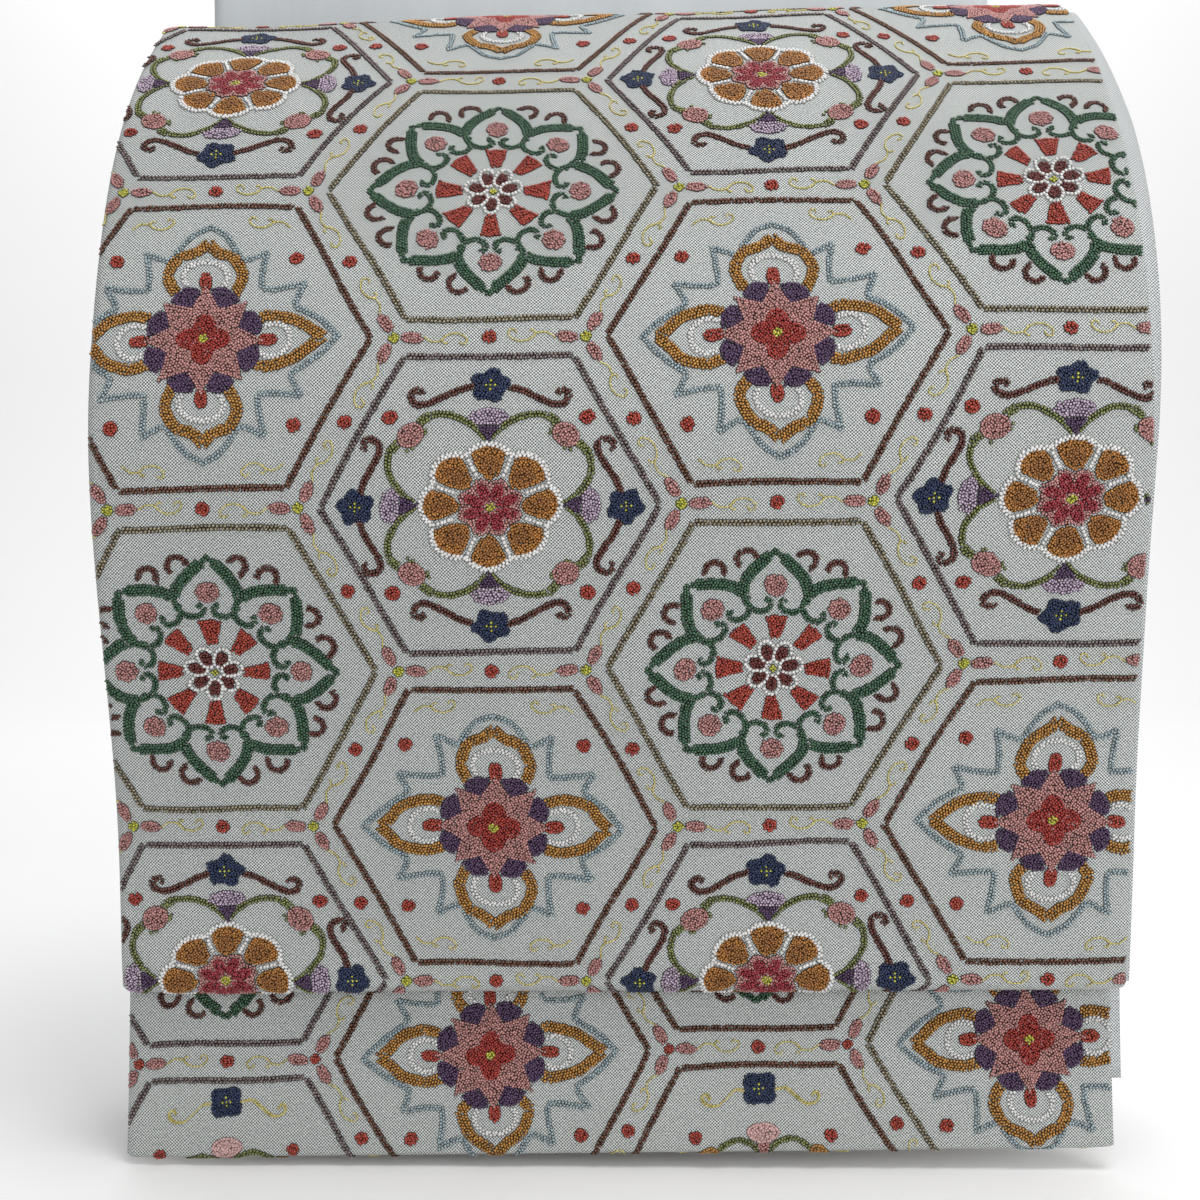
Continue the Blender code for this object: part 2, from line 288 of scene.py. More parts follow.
class Nodes:
    """A short hand for building one material's node tree."""

    def __init__(self, name):
        self.material = bpy.data.materials.new(name)
        self.material.use_nodes = True
        self.tree = self.material.node_tree
        self.shader = self.tree.nodes["Principled BSDF"]

    def add(self, kind, **settings):
        node = self.tree.nodes.new(kind)
        for key, value in settings.items():
            setattr(node, key, value)
        return node

    def feed(self, socket, value):
        if isinstance(value, bpy.types.NodeSocket):
            self.tree.links.new(value, socket)
        else:
            socket.default_value = value

    def math(self, operation, first, second=0.0, third=0.0):
        node = self.add("ShaderNodeMath", operation=operation)
        self.feed(node.inputs[0], first)
        self.feed(node.inputs[1], second)
        self.feed(node.inputs[2], third)
        return node.outputs[0]

    def mapping(self, vector, scale, turn=0.0):
        node = self.add("ShaderNodeMapping")
        self.feed(node.inputs["Vector"], vector)
        node.inputs["Scale"].default_value = scale
        node.inputs["Rotation"].default_value = (0.0, 0.0, turn)
        return node.outputs[0]

    def noise(self, vector, scale, detail=2.0):
        node = self.add("ShaderNodeTexNoise")
        self.feed(node.inputs["Vector"], vector)
        node.inputs["Scale"].default_value = scale
        node.inputs["Detail"].default_value = detail
        return node.outputs["Fac"]

    def mix(self, share, first, second):
        node = self.add("ShaderNodeMix", data_type="RGBA")
        self.feed(node.inputs[0], share)
        self.feed(node.inputs[6], first)
        self.feed(node.inputs[7], second)
        return node.outputs[2]

    def bump(self, height, strength, distance, under=None):
        node = self.add("ShaderNodeBump")
        self.feed(node.inputs["Height"], height)
        node.inputs["Strength"].default_value = strength
        node.inputs["Distance"].default_value = distance
        if under is not None:
            self.feed(node.inputs["Normal"], under)
        return node.outputs[0]

    def shine(self, roughness, sheen=0.0, specular=0.5):
        self.shader.inputs["Roughness"].default_value = roughness
        self.shader.inputs["Sheen Weight"].default_value = sheen
        self.shader.inputs["Specular IOR Level"].default_value = specular


def solid(colour, factor=1.0):
    return (colour[0] * factor, colour[1] * factor, colour[2] * factor, 1.0)


def woven(name, colour, pitch, contrast, depth, roughness, light):
    """A plain weave laid by the cloth's own map, in metres: threads over and under in turn."""
    made = Nodes(name)
    flat = made.add("ShaderNodeUVMap", uv_map="cloth").outputs[0]
    drift = made.noise(made.mapping(flat, (75.0, 75.0, 75.0)), 1.0, 2.0)
    parts = made.add("ShaderNodeSeparateXYZ")
    made.feed(parts.inputs[0], made.mapping(flat, (1 / pitch, 1 / pitch, 1.0)))
    across = made.math("MULTIPLY_ADD", drift, 1.1, parts.outputs[0])
    along = made.math("MULTIPLY_ADD", drift, -0.8, parts.outputs[1])
    wave_a = made.math("COSINE", made.math("MULTIPLY", across, 2 * math.pi))
    wave_b = made.math("COSINE", made.math("MULTIPLY", along, 2 * math.pi))
    swell = made.math("MULTIPLY_ADD", made.math("MULTIPLY", wave_a, wave_b), 0.5, 0.5)
    fibre = made.noise(made.mapping(flat, (2600.0, 1700.0, 1.0)), 1.0, 2.0)
    swell = made.math("ADD", swell, made.math("MULTIPLY_ADD", fibre, 0.8, -0.4))
    # the weave's height sets the colour: painted shade in the gaps between threads, a painted
    # highlight on the threads' tops
    shade = made.math("MULTIPLY_ADD", swell, contrast, 0.5 - 0.5 * contrast)
    shade = made.math("MAXIMUM", made.math("MINIMUM", shade, 1.0), 0.0)
    body = made.mix(shade, solid(colour, 0.10), solid(colour, light))
    patch = made.noise(made.mapping(flat, (26.0, 19.0, 1.0)), 1.0, 3.0)
    patch = made.math("MULTIPLY_ADD", patch, 1.2, -0.35)
    body = made.mix(made.math("MULTIPLY", patch, 0.25), body, solid(colour, 0.62))
    made.feed(made.shader.inputs["Base Color"], body)
    made.feed(made.shader.inputs["Normal"], made.bump(swell, 0.8, depth))
    made.shine(roughness, 0.08, 0.35)
    return made.material


def knotted(name, colour, painted_shade_share, full, crisp, roughness=0.42, metal=0.0):
    """Thread knots: a painted highlight on the top, painted shade where they meet the cloth."""
    made = Nodes(name)
    ring = made.add("ShaderNodeAttribute", attribute_name="ring").outputs["Fac"]
    shade = made.add("ShaderNodeAttribute", attribute_name="shade").outputs["Fac"]
    place = made.add("ShaderNodeTexCoord").outputs["Object"]
    strands = made.noise(made.mapping(place, (2600.0, 2600.0, 2600.0)), 1.0, 2.0)
    lit = made.math("MULTIPLY", made.math("POWER", ring, crisp), shade)
    lit = made.math("MULTIPLY", lit, made.math("MULTIPLY_ADD", strands, 0.7, 0.65))
    # a pale painted highlight colour for each knot's top and a dark painted shade at its foot,
    # blended by the ring attribute
    painted_highlight = tuple(min(c * full + 0.02, 0.92) for c in colour) + (1.0,)
    body = made.mix(lit, solid(colour, painted_shade_share), painted_highlight)
    made.feed(made.shader.inputs["Base Color"], body)
    made.feed(made.shader.inputs["Normal"], made.bump(strands, 0.6, 0.00025))
    made.shine(roughness, 0.0, 0.42)
    made.shader.inputs["Metallic"].default_value = metal
    return made.material


def cover_cloth(name, colour):
    """A fine satin cover: faint slubs across, soft clouding, by object place."""
    made = Nodes(name)
    place = made.add("ShaderNodeTexCoord").outputs["Object"]
    cloud = made.noise(made.mapping(place, (30.0, 30.0, 14.0)), 1.0, 3.0)
    weave = made.noise(made.mapping(place, (900.0, 900.0, 3600.0)), 1.0, 2.0)
    creases = made.noise(made.mapping(place, (46.0, 46.0, 7.0)), 1.0, 3.0)
    body = made.mix(cloud, solid(colour, 0.90), solid(colour, 1.08))
    body = made.mix(made.math("MULTIPLY", weave, 0.18), body, solid(colour, 0.6))
    made.feed(made.shader.inputs["Base Color"], body)
    fine = made.bump(weave, 0.35, 0.0002)
    made.feed(made.shader.inputs["Normal"], made.bump(creases, 0.25, 0.004, fine))
    made.shine(0.42, 0.2, 0.45)
    return made.material


def oiled_wood(name, colour):
    made = Nodes(name)
    place = made.add("ShaderNodeTexCoord").outputs["Object"]
    grain = made.noise(made.mapping(place, (14.0, 220.0, 220.0)), 1.0, 4.0)
    rings = made.add("ShaderNodeTexWave", wave_type="BANDS", bands_direction="Y")
    made.feed(rings.inputs["Vector"], made.mapping(place, (6.0, 40.0, 40.0)))
    rings.inputs["Scale"].default_value = 1.0
    rings.inputs["Distortion"].default_value = 6.0
    rings.inputs["Detail"].default_value = 2.0
    share = made.math("MULTIPLY_ADD", rings.outputs["Fac"], 0.5, made.math("MULTIPLY", grain, 0.5))
    made.feed(made.shader.inputs["Base Color"],
              made.mix(share, solid(colour, 0.72), solid(colour, 1.15)))
    made.feed(made.shader.inputs["Normal"], made.bump(grain, 0.25, 0.0004))
    made.shine(0.45, 0.0, 0.4)
    return made.material


# ---------------------------------------------------------------- mesh helpers
def add_object(name, mesh, material):
    piece = bpy.data.objects.new(name, mesh)
    bpy.context.scene.collection.objects.link(piece)
    mesh.materials.append(material)
    return piece


def mesh_from(name, bm, smooth=True):
    mesh = bpy.data.meshes.new(name)
    bm.to_mesh(mesh)
    bm.free()
    if smooth:
        mesh.shade_smooth()
    return mesh


def strip(name, columns_at, rows_from, rows_to, inset, wall, material, curl=0.0):
    """A strip of the sash: a grid laid on the sash's line, given its wall."""
    stations = np.asarray(columns_at)
    wide = len(stations) - 1
    runs = []
    maps = []
    for x in stations:
        points, length, _ = measured(x)
        runs.append(points[rows_from:rows_to + 1])
        maps.append(cloth_v(length)[rows_from:rows_to + 1])
    long = len(maps[0]) - 1
    across = np.repeat(stations, long + 1)
    along = np.concatenate(maps)
    turned = curl * np.clip((FRONT_LEFT + 0.0026 - across) / 0.0026, 0, 1) ** 2.2
    edge = np.clip((across - (FRONT_RIGHT - 0.0022)) / 0.0022, 0, 1) ** 2.2
    turned = turned + (0.0002 * edge if curl else 0.0)
    lift = -inset - turned
    places = laid(across, np.concatenate(runs), along, lift, long + 1, back=inset > 0)
    bm = bmesh.new()
    bmesh.ops.create_grid(bm, x_segments=wide, y_segments=long, size=1.0)
    sheet_map = bm.loops.layers.uv.new("cloth")
    where = {}
    for vert in bm.verts:
        column = round((vert.co.x + 1) / 2 * wide)
        row = round((1 - (vert.co.y + 1) / 2) * long)
        spot = column * (long + 1) + row
        where[vert] = spot
    for vert, spot in where.items():
        vert.co = places[spot]
    for face in bm.faces:
        for loop in face.loops:
            spot = where[loop.vert]
            loop[sheet_map].uv = (across[spot], along[spot])
    piece = add_object(name, mesh_from(name, bm), material)
    thick = piece.modifiers.new("Wall", "SOLIDIFY")
    thick.thickness = wall
    thick.offset = -1.0
    thick.use_even_offset = True
    length = float(np.mean([m[0] - m[-1] for m in maps]))
    return piece, length


def laid(across, line, along, lift, per_column, back):
    """Places of a strip's own rows, lifted square to its line."""
    up = np.zeros_like(line)
    for start in range(0, len(line), per_column):
        part = slice(start, start + per_column)
        up[part] = -np.gradient(line[part], axis=0, edge_order=2)
    up /= np.maximum(np.linalg.norm(up, axis=1), 1e-9)[:, None]
    out = np.column_stack((-up[:, 1], up[:, 0]))
    off = (unevenness(across, along) + lift)[:, None]
    place = line + out * off
    return np.column_stack((spread(across, along, back), place[:, 0] - SET_BACK, place[:, 1]))


# ---------------------------------------------------------------- drawing in centimetres
sewn = {}                     # thread name: list of (u, v, size, turn, stretch, shade, tall)
taken = {}                    # cells of the cloth already under a knot
CELL = 0.11


def is_free(u, v, room):
    a = int(u // CELL)
    b = int(v // CELL)
    for i in (a - 1, a, a + 1):
        for j in (b - 1, b, b + 1):
            for x, y in taken.get((i, j), ()):
                if (x - u) ** 2 + (y - v) ** 2 < room * room:
                    return False
    return True


def within_cloth(u, v):
    if not -14.93 < u < 15.93:
        return False
    if v > -1.3:
        return v < 41.0
    return V_HEM * 100 - 0.9 < v < V_HEM * 100 + 7.6


def knot(thread, u, v, size=1.0, turn=0.0, stretch=1.0, shade=1.0, room=0.08, tall=1.0):
    if not within_cloth(u, v) or not is_free(u, v, room):
        return
    taken.setdefault((int(u // CELL), int(v // CELL)), []).append((u, v))
    wander = dice.gauss(0, 0.008)
    drift = dice.gauss(0, 0.008)
    tone = shade * (1 + dice.uniform(-0.25, 0.2))
    sewn.setdefault(thread, []).append(
        (u + wander, v + drift, size * dice.uniform(0.9, 1.1), turn, stretch, tone, tall))


def spaced(path, pitch, start=0.0):
    """Even points along a path, with its direction at each."""
    path = np.asarray(path, dtype=float)
    steps = np.linalg.norm(np.diff(path, axis=0), axis=1)
    length = np.concatenate(([0.0], np.cumsum(steps)))
    stops = np.arange(start, length[-1] + 1e-6, pitch)
    u = np.interp(stops, length, path[:, 0])
    v = np.interp(stops, length, path[:, 1])
    seg = np.clip(np.searchsorted(length, stops, side="right") - 1, 0, len(path) - 2)
    way = path[seg + 1] - path[seg]
    way /= np.maximum(np.linalg.norm(way, axis=1), 1e-9)[:, None]
    return np.column_stack((u, v)), way


def curved(points, closed=False, steps=10):
    """A smooth path through points."""
    points = np.asarray(points, dtype=float)
    if closed:
        points = np.vstack((points[-1:], points, points[:2]))
    else:
        points = np.vstack((2 * points[0] - points[1], points, 2 * points[-1] - points[-2]))
    share = np.linspace(0, 1, steps, endpoint=False)[:, None]
    parts = []
    for a, b, c, d in zip(points, points[1:], points[2:], points[3:]):
        parts.append(0.5 * (2 * b + (c - a) * share + (2 * a - 5 * b + 4 * c - d) * share ** 2
                            + (3 * b - a - 3 * c + d) * share ** 3))
    parts.append(points[-2][None, :])
    return np.vstack(parts)


def sew_line(thread, path, rows=2, pitch=0.098, gap=0.086, size=1.0, slant=0.9, shade=1.0,
             taper=None, room=0.07):
    """Rows of knots side by side along a path; taper gives the share of rows along it."""
    path = np.asarray(path, dtype=float)
    for row in range(rows):
        offset = (row - (rows - 1) / 2) * gap
        spots, way = spaced(path, pitch, (row % 2) * pitch / 2)
        aside = np.column_stack((-way[:, 1], way[:, 0]))
        for number, (spot, side, ahead) in enumerate(zip(spots, aside, way)):
            reach = 1.0
            if taper is not None:
                reach = taper(number / max(len(spots) - 1, 1))
                if abs(offset) > (rows - 1) / 2 * gap * reach + 0.02:
                    continue
            u, v = spot + side * offset
            turn = math.atan2(ahead[1], ahead[0]) + slant
            knot(thread, u, v, size, turn, 1.10, shade, room)


def area_sign(outline):
    following = np.roll(outline, -1, axis=0)
    return np.sign(np.sum(outline[:, 0] * following[:, 1] - following[:, 0] * outline[:, 1]))


def inside(points, outline):
    result = np.zeros(len(points), dtype=bool)
    following = np.roll(outline, -1, axis=0)
    for (x1, y1), (x2, y2) in zip(outline, following):
        if y1 == y2:
            continue
        crosses = (y1 > points[:, 1]) != (y2 > points[:, 1])
        at = (x2 - x1) * (points[:, 1] - y1) / (y2 - y1) + x1
        result ^= crosses & (points[:, 0] < at)
    return result


def sew_fill(thread, outline, pitch=FILL, size=1.0, shade=1.0):
    """Knots packed inside a closed outline, row within row from its edge inwards."""
    outline = np.asarray(outline, dtype=float)
    closed = np.vstack((outline, outline[:1]))
    around = np.sum(np.linalg.norm(np.diff(closed, axis=0), axis=1))
    even = around / max(3, round(around / pitch))
    edge = 0.42 * pitch
    spots, way = spaced(closed, even)
    inward = np.column_stack((-way[:, 1], way[:, 0])) * area_sign(outline)
    for (u, v), (a, b) in zip(spots[:-1], inward[:-1]):
        knot(thread, u + a * edge, v + b * edge, size, dice.uniform(0, 3), 1.0, shade, 0.068)
    low = outline.min(axis=0)
    high = outline.max(axis=0)
    step = pitch / 4
    across, along = np.meshgrid(np.arange(low[0], high[0], step), np.arange(low[1], high[1], step))
    places = np.column_stack((across.ravel(), along.ravel()))
    if len(places):
        places = places[inside(places, outline)]
    if not len(places):
        return
    away = np.full(len(places), 9.0)
    for start, end in zip(closed[:-1], closed[1:]):
        side = end - start
        share = np.clip(((places - start) @ side) / max(side @ side, 1e-9), 0, 1)
        away = np.minimum(away, np.linalg.norm(places - start - share[:, None] * side, axis=1))
    gaps = places[away > 0.4 * pitch]
    keep = away > 0.85 * pitch
    places = places[keep]
    away = away[keep]
    if not len(places):
        return
    middle = places.mean(axis=0)
    ring = np.floor((away - edge) / (0.84 * pitch))
    angle = np.arctan2(places[:, 1] - middle[1], places[:, 0] - middle[0])
    for number in np.lexsort((away, angle, ring)):
        u, v = places[number]
        knot(thread, u, v, size, dice.uniform(0, 3), 1.0, shade, 0.86 * pitch)
    # knots in the gaps sit lower and are dimmed to 0.7: painted shade between the knots
    for u, v in gaps:
        knot(thread, u, v, size, dice.uniform(0, 3), 1.0, 0.7 * shade, 0.62 * pitch, 0.62)


def sew_thread(path, pitch=0.105, size=1.0):
    """Couched metal thread: a chain of thin stitches."""
    spots, way = spaced(path, pitch)
    for (u, v), (a, b) in zip(spots, way):
        if within_cloth(u, v) and is_free(u, v, 0.075):
            sewn.setdefault("gold_thread", []).append(
                (u, v, size, math.atan2(b, a) + dice.uniform(-0.35, 0.35), 1.0,
                 dice.uniform(0.75, 1.15), 1.0))


def round_outline(centre, radius, tall=None, turn=0.0, steps=20):
    tall = radius if tall is None else tall
    turns = np.linspace(0, 2 * math.pi, steps, endpoint=False)
    x = radius * np.cos(turns)
    y = tall * np.sin(turns)
    return np.column_stack((centre[0] + x * math.cos(turn) - y * math.sin(turn),
                            centre[1] + x * math.sin(turn) + y * math.cos(turn)))


class Hand:
    """Places a motif's own drawing on the cloth, never twice the same."""

    def __init__(self, centre, wide=1.0, tall=1.0, turn=0.0, wander=0.035):
        self.centre = np.asarray(centre, dtype=float)
        self.wide = wide
        self.tall = tall
        self.turn = turn
        self.wander = wander
        self.phase = rng.uniform(0, 6.28, 6)

    def __call__(self, points):
        p = np.atleast_2d(np.asarray(points, dtype=float))
        x = p[:, 0] * self.wide
        y = p[:, 1] * self.tall
        f = self.phase
        x2 = x + self.wander * (np.sin(1.7 * y + f[0]) + 0.6 * np.sin(2.9 * x + f[1]))
        y2 = y + self.wander * (np.sin(1.6 * x + f[2]) + 0.6 * np.sin(3.1 * y + f[3]))
        c = math.cos(self.turn)
        s = math.sin(self.turn)
        return self.centre + np.column_stack((x2 * c - y2 * s, x2 * s + y2 * c))


def spun(points, degrees):
    """Points drawn along +X, turned about the motif's centre."""
    a = math.radians(degrees)
    p = np.atleast_2d(np.asarray(points, dtype=float))
    return np.column_stack((p[:, 0] * math.cos(a) - p[:, 1] * math.sin(a),
                            p[:, 0] * math.sin(a) + p[:, 1] * math.cos(a)))


def polar(radius, degrees):
    return (radius * math.cos(math.radians(degrees)), radius * math.sin(math.radians(degrees)))


def mirrored(points):
    p = np.asarray(points, dtype=float).copy()
    p[:, 1] *= -1
    return p


def there_and_back(points):
    """A path out along points and back along their mirror."""
    p = np.asarray(points, dtype=float)
    return np.vstack((p, mirrored(p[:-1])[::-1]))


def petal(root, tip, half, steps=9):
    """A closed oval petal along +X."""
    share = np.linspace(0, 1, steps)
    x = root + (tip - root) * (0.5 - 0.5 * np.cos(math.pi * share))
    y = half * np.sin(math.pi * share) ** 0.8
    upper = np.column_stack((x, y))
    return np.vstack((upper[:-1], mirrored(upper)[::-1][:-1]))


# ---------------------------------------------------------------- the motifs
SCROLL = ((0.0, 0.0), (0.22, 0.13), (0.48, 0.10), (0.66, -0.06), (0.86, -0.13), (1.08, -0.10),
          (1.26, 0.04), (1.25, 0.19), (1.12, 0.22), (1.05, 0.12))
SPUR = ((0.60, -0.02), (0.52, 0.10), (0.60, 0.20), (0.70, 0.17))


def gold_scroll(start, way, flip, grow=1.0):
    """A wavy couched scroll with a curled end and a spur."""
    aside = np.array([-way[1], way[0]]) * flip
    for drawing in (SCROLL, SPUR):
        path = [start + way * x * grow + aside * y * grow for x, y in drawing]
        sew_thread(curved(path))


def gold_cross(hand):
    """Four ochre ogive petals round a pink star, in a pale blue leafy outline."""
    sew_fill("gold_knot", hand(round_outline((0, 0), 0.15)))
    turns = np.radians(np.arange(0, 360, 8))
    reach = 0.50 + 0.30 * (0.5 + 0.5 * np.cos(4 * turns)) ** 0.7
    cross = np.column_stack((reach * np.cos(turns), reach * np.sin(turns)))
    sew_fill("dark_red", hand(cross))
    star = [polar(1.70 if k % 2 == 0 else 1.08, 22.5 * k) for k in range(16)]
    sew_fill("pink", hand(star))
    for k in range(4):
        sew_fill("red_orange", hand(spun(petal(1.52, 2.14, 0.19), 90 * k)))
    for k in range(8):
        lobe = [polar(1.08, 22.5), polar(1.36, 8.5), polar(1.60, 7.0), polar(1.70, 15.0),
                polar(1.74, 22.5), polar(1.70, 30.0), polar(1.60, 38.0), polar(1.36, 36.5)]
        sew_fill("purple", hand(spun(lobe, 45 * k)))
    for k in range(4):
        broad = 1.0 if k % 2 else 0.80
        arch = ((1.62, 0.50), (1.90, 0.66), (2.20, 0.62), (2.44, 0.36), (2.52, 0.0))
        arch = there_and_back([(x, y * broad) for x, y in arch])
        sew_line("white", hand(spun(curved(arch), 90 * k)), rows=2, pitch=0.118, gap=0.074,
                 size=0.98, room=0.08)
    for k in range(4):
        upright = k % 2
        swell = dice.uniform(1.80, 2.20)
        wide = dice.uniform(1.00, 1.12) if upright else dice.uniform(0.78, 0.86)
        tip = dice.uniform(3.16, 3.26) if upright else dice.uniform(3.40, 3.52)
        for sign in (1, -1):
            path = ((1.46, 0.80 * wide), (0.5 * (1.46 + swell), 0.96 * wide), (swell, wide),
                    (0.5 * (swell + tip), 0.76 * wide), (tip - 0.30, 0.30 * wide), (tip, 0.0))
            path = [(x, y * sign) for x, y in path]
            sew_line("ochre", hand(spun(curved(path), 90 * k)), rows=4, pitch=0.098, gap=0.084)
    for k in range(4):
        far = dice.uniform(3.62, 3.76) if k % 2 else dice.uniform(3.84, 3.98)
        for sign in (1, -1):
            leaf = [polar(far, 0), polar(3.46, 8.5 * sign), polar(3.06, 16.5 * sign),
                    polar(2.84, 22.0 * sign), polar(3.02, 26.5 * sign), polar(3.40, 31.0 * sign)]
            notch = [polar(3.40, 31.0 * sign), polar(3.04, 33.5 * sign),
                     polar(2.60, 38.5 * sign), polar(2.30, 45.0 * sign)]
            for part in (leaf, notch):
                sew_line("pale_blue", hand(spun(curved(part), 90 * k)), rows=2, pitch=0.104,
                         gap=0.080, size=0.92, room=0.066)
    for degrees in DOT_ANGLES:
        sew_fill("red_orange", hand(round_outline(polar(3.74, degrees), 0.21)))
    for x, y, lean, flip in ((-2.3, 3.76, 0.10, 1), (2.3, 3.76, math.pi - 0.1, -1),
                             (-2.3, -3.76, -0.1, -1), (2.3, -3.76, math.pi + 0.1, 1)):
        way = np.array([math.cos(lean), math.sin(lean)])
        gold_scroll(hand([(x, y)])[0], way, flip, 0.95)


LEAF_SIDE = ((3.66, 0.0), (3.36, 0.30), (3.02, 0.64), (2.66, 0.88), (2.28, 0.95), (1.94, 0.82),
             (1.76, 0.52), (1.84, 0.22), (2.04, 0.14), (2.18, 0.32))


def swelling(share):
    """A line that is thin where it starts and full in its middle."""
    return 0.62 + 0.5 * math.sin(math.pi * min(1.0, share * 1.05))


def green_wheel(hand):
    """Eight green ogee leaves with curled ends round a wheel of red wedges."""
    sew_fill("gold_knot", hand(round_outline((0, 0), 0.11)))
    for k in range(7):
        degrees = 360 / 7 * k + 12
        ring = np.vstack((petal(0.22, 0.86, 0.23), petal(0.22, 0.86, 0.23)[:1]))
        sew_line("white", hand(spun(ring, degrees)), rows=1, pitch=0.112, size=1.16, room=0.088)
    for k in range(7):
        sew_fill("dark_petal", hand(spun(petal(0.20, 0.74, 0.17), 360 / 7 * k + 12)))
    for k in range(8):
        outer = dice.uniform(0.28, 0.35)
        wedge = ((0.92, 0.14), (1.62, outer), (1.66, 0.0), (1.62, -outer), (0.92, -0.14))
        sew_fill("red_orange", hand(spun(wedge, 45 * k)))
    for k in range(8):
        path = curved(LEAF_SIDE)
        whole = int(len(path) * 0.58)
        for sign in (1, -1):
            side = path * np.array([1, sign])
            thick = hand(spun(side[:whole], 45 * k))
            thin = hand(spun(side[whole:], 45 * k))
            sew_line("green", thick, rows=4, pitch=0.094, gap=0.082, taper=swelling)
            sew_line("green", thin, rows=2, pitch=0.094, gap=0.084, size=0.95)
    for k in range(8):
        bud = ((2.24, 0.0), (2.34, 0.26), (2.60, 0.36), (2.84, 0.24), (2.90, 0.0), (2.84, -0.24),
               (2.60, -0.36), (2.34, -0.26))
        sew_fill("pink", hand(spun(bud, 45 * k)))
    for k in range(8):
        for aside in (14.5, 30.5):
            middle = 45 * k + aside
            centre = np.array(polar(3.44, middle))
            lean = 25 if aside < 22 else -25
            hook = [centre + np.array(polar(0.28, middle + lean + a))
                    for a in range(-118, 120, 20)]
            sew_line("brown", hand(curved(hook)), rows=2, pitch=0.096, gap=0.086, size=0.98,
                     room=0.064)


GARLAND = ((1.98, 0.0), (2.30, 0.22), (2.60, 0.60), (2.80, 1.08), (2.76, 1.56), (2.52, 1.86),
           (2.26, 1.86), (2.16, 1.66))


def ochre_flower(hand):
    """An eight-petalled ochre flower in an olive garland with lilac and pink buds."""
    sew_fill("gold_knot", hand(round_outline((0, 0), 0.15)))
    for k in range(8):
        sew_fill("crimson", hand(spun(petal(0.20, 0.82, 0.17), 45 * k + 22.5)))
    disc = [polar(0.88 + 0.08 * math.cos(math.radians(8 * a + 180)), a) for a in range(0, 360, 9)]
    sew_fill("pink", hand(disc))
    scallop = []
    for a in range(0, 360, 3):
        lobe = abs(math.cos(math.radians(4 * a)))
        scallop.append(polar(1.60 + 0.32 * lobe ** 0.6, a))
    sew_line("white", hand(scallop + scallop[:1]), rows=2, pitch=0.128, gap=0.070, size=1.16,
             room=0.078)
    for k in range(8):
        rib = [polar(1.52, 45 * k + 22.5), polar(1.02, 45 * k + 22.5)]
        sew_line("white", hand(rib), rows=1, pitch=0.112, size=1.22, room=0.08)
    for k in range(8):
        shape = ((0.86, 0.0), (0.96, 0.22), (1.30, 0.40), (1.60, 0.50), (1.80, 0.30), (1.86, 0.0),
                 (1.80, -0.30), (1.60, -0.50), (1.30, -0.40), (0.96, -0.22))
        heart = petal(1.0, 1.62, 0.26)
        sew_fill("ochre_deep", hand(spun(heart, 45 * k)))
        sew_fill("ochre_petal", hand(spun(shape, 45 * k)))
    for k in range(4):
        under = ((2.02, 0.0), (2.34, 0.22), (2.50, 0.28), (2.50, -0.28), (2.34, -0.22))
        sew_fill("purple", hand(spun(under, 90 * k)))
    for k in range(4):
        turn = math.radians(45 + 90 * k)
        bud = round_outline(polar(3.02, 45 + 90 * k), 0.36, 0.42, turn)
        sew_fill("pink", hand(bud))
    path = curved(GARLAND)
    half = int(len(path) * 0.60)
    for k in range(4):
        for sign in (1, -1):
            side = path * np.array([1, sign])
            sew_line("olive", hand(spun(side[:half], 90 * k)), rows=2, pitch=0.098, gap=0.094)
            sew_line("olive", hand(spun(side[half:], 90 * k)), rows=3, pitch=0.098, gap=0.082)
    for k in range(4):
        fan = ((2.54, 0.20), (2.50, 0.44), (2.70, 0.60), (2.96, 0.44), (3.06, 0.0),
               (2.96, -0.44), (2.70, -0.60), (2.50, -0.44), (2.54, -0.20))
        sew_fill("lilac", hand(spun(fan, 90 * k)), pitch=0.094)
    for k in range(4):
        navy_spray(hand, k, "brown")
    for degrees in DOT_ANGLES:
        sew_fill("red_orange", hand(round_outline(polar(3.86, degrees), 0.21)))


def navy_spray(hand, k, tails):
    """A five-lobed navy flower with a hooked scroll on each side."""
    centre = 3.72
    spots = []
    lobes = 4 if tails == "gold" else 5
    for a in range(0, 360, 12):
        reach = 0.49 + 0.07 * math.cos(math.radians(lobes * (a - 45 - 90 * (lobes - 4))))
        spots.append((centre + reach * math.cos(math.radians(a)),
                      1.08 * reach * math.sin(math.radians(a))))
    gilt = [(centre + x, y) for x, y in ((0.13, 0), (0, 0.13), (-0.13, 0), (0, -0.13), (0, 0))]
    for place in hand(spun(gilt, 90 * k)):
        knot("gold_knot", place[0], place[1], 0.9)
    sew_fill("navy", hand(spun(spots, 90 * k)))
    for sign in (1, -1):
        path = [(3.66, 0.50), (3.52, 0.90), (3.27, 1.34), (3.08, 1.76), (3.12, 2.06),
                (3.38, 2.18), (3.52, 1.98), (3.40, 1.84)]
        if k % 2 == 0:
            path = [(0.975 * x, 0.95 * y) for x, y in path]
        if tails == "gold":
            path = [(3.66, 0.50), (3.66, 0.80), (3.42, 1.08), (3.16, 1.42), (3.22, 1.76),
                    (3.42, 1.84), (3.50, 1.70), (3.38, 1.62)]
        path = hand(spun(curved([(x, y * sign) for x, y in path]), 90 * k))
        if tails == "gold":
            sew_thread(path)
            sew_thread(path + 0.045)
        else:
            sew_line("brown", path, rows=2, pitch=0.096, gap=0.096, size=1.04, room=0.07)


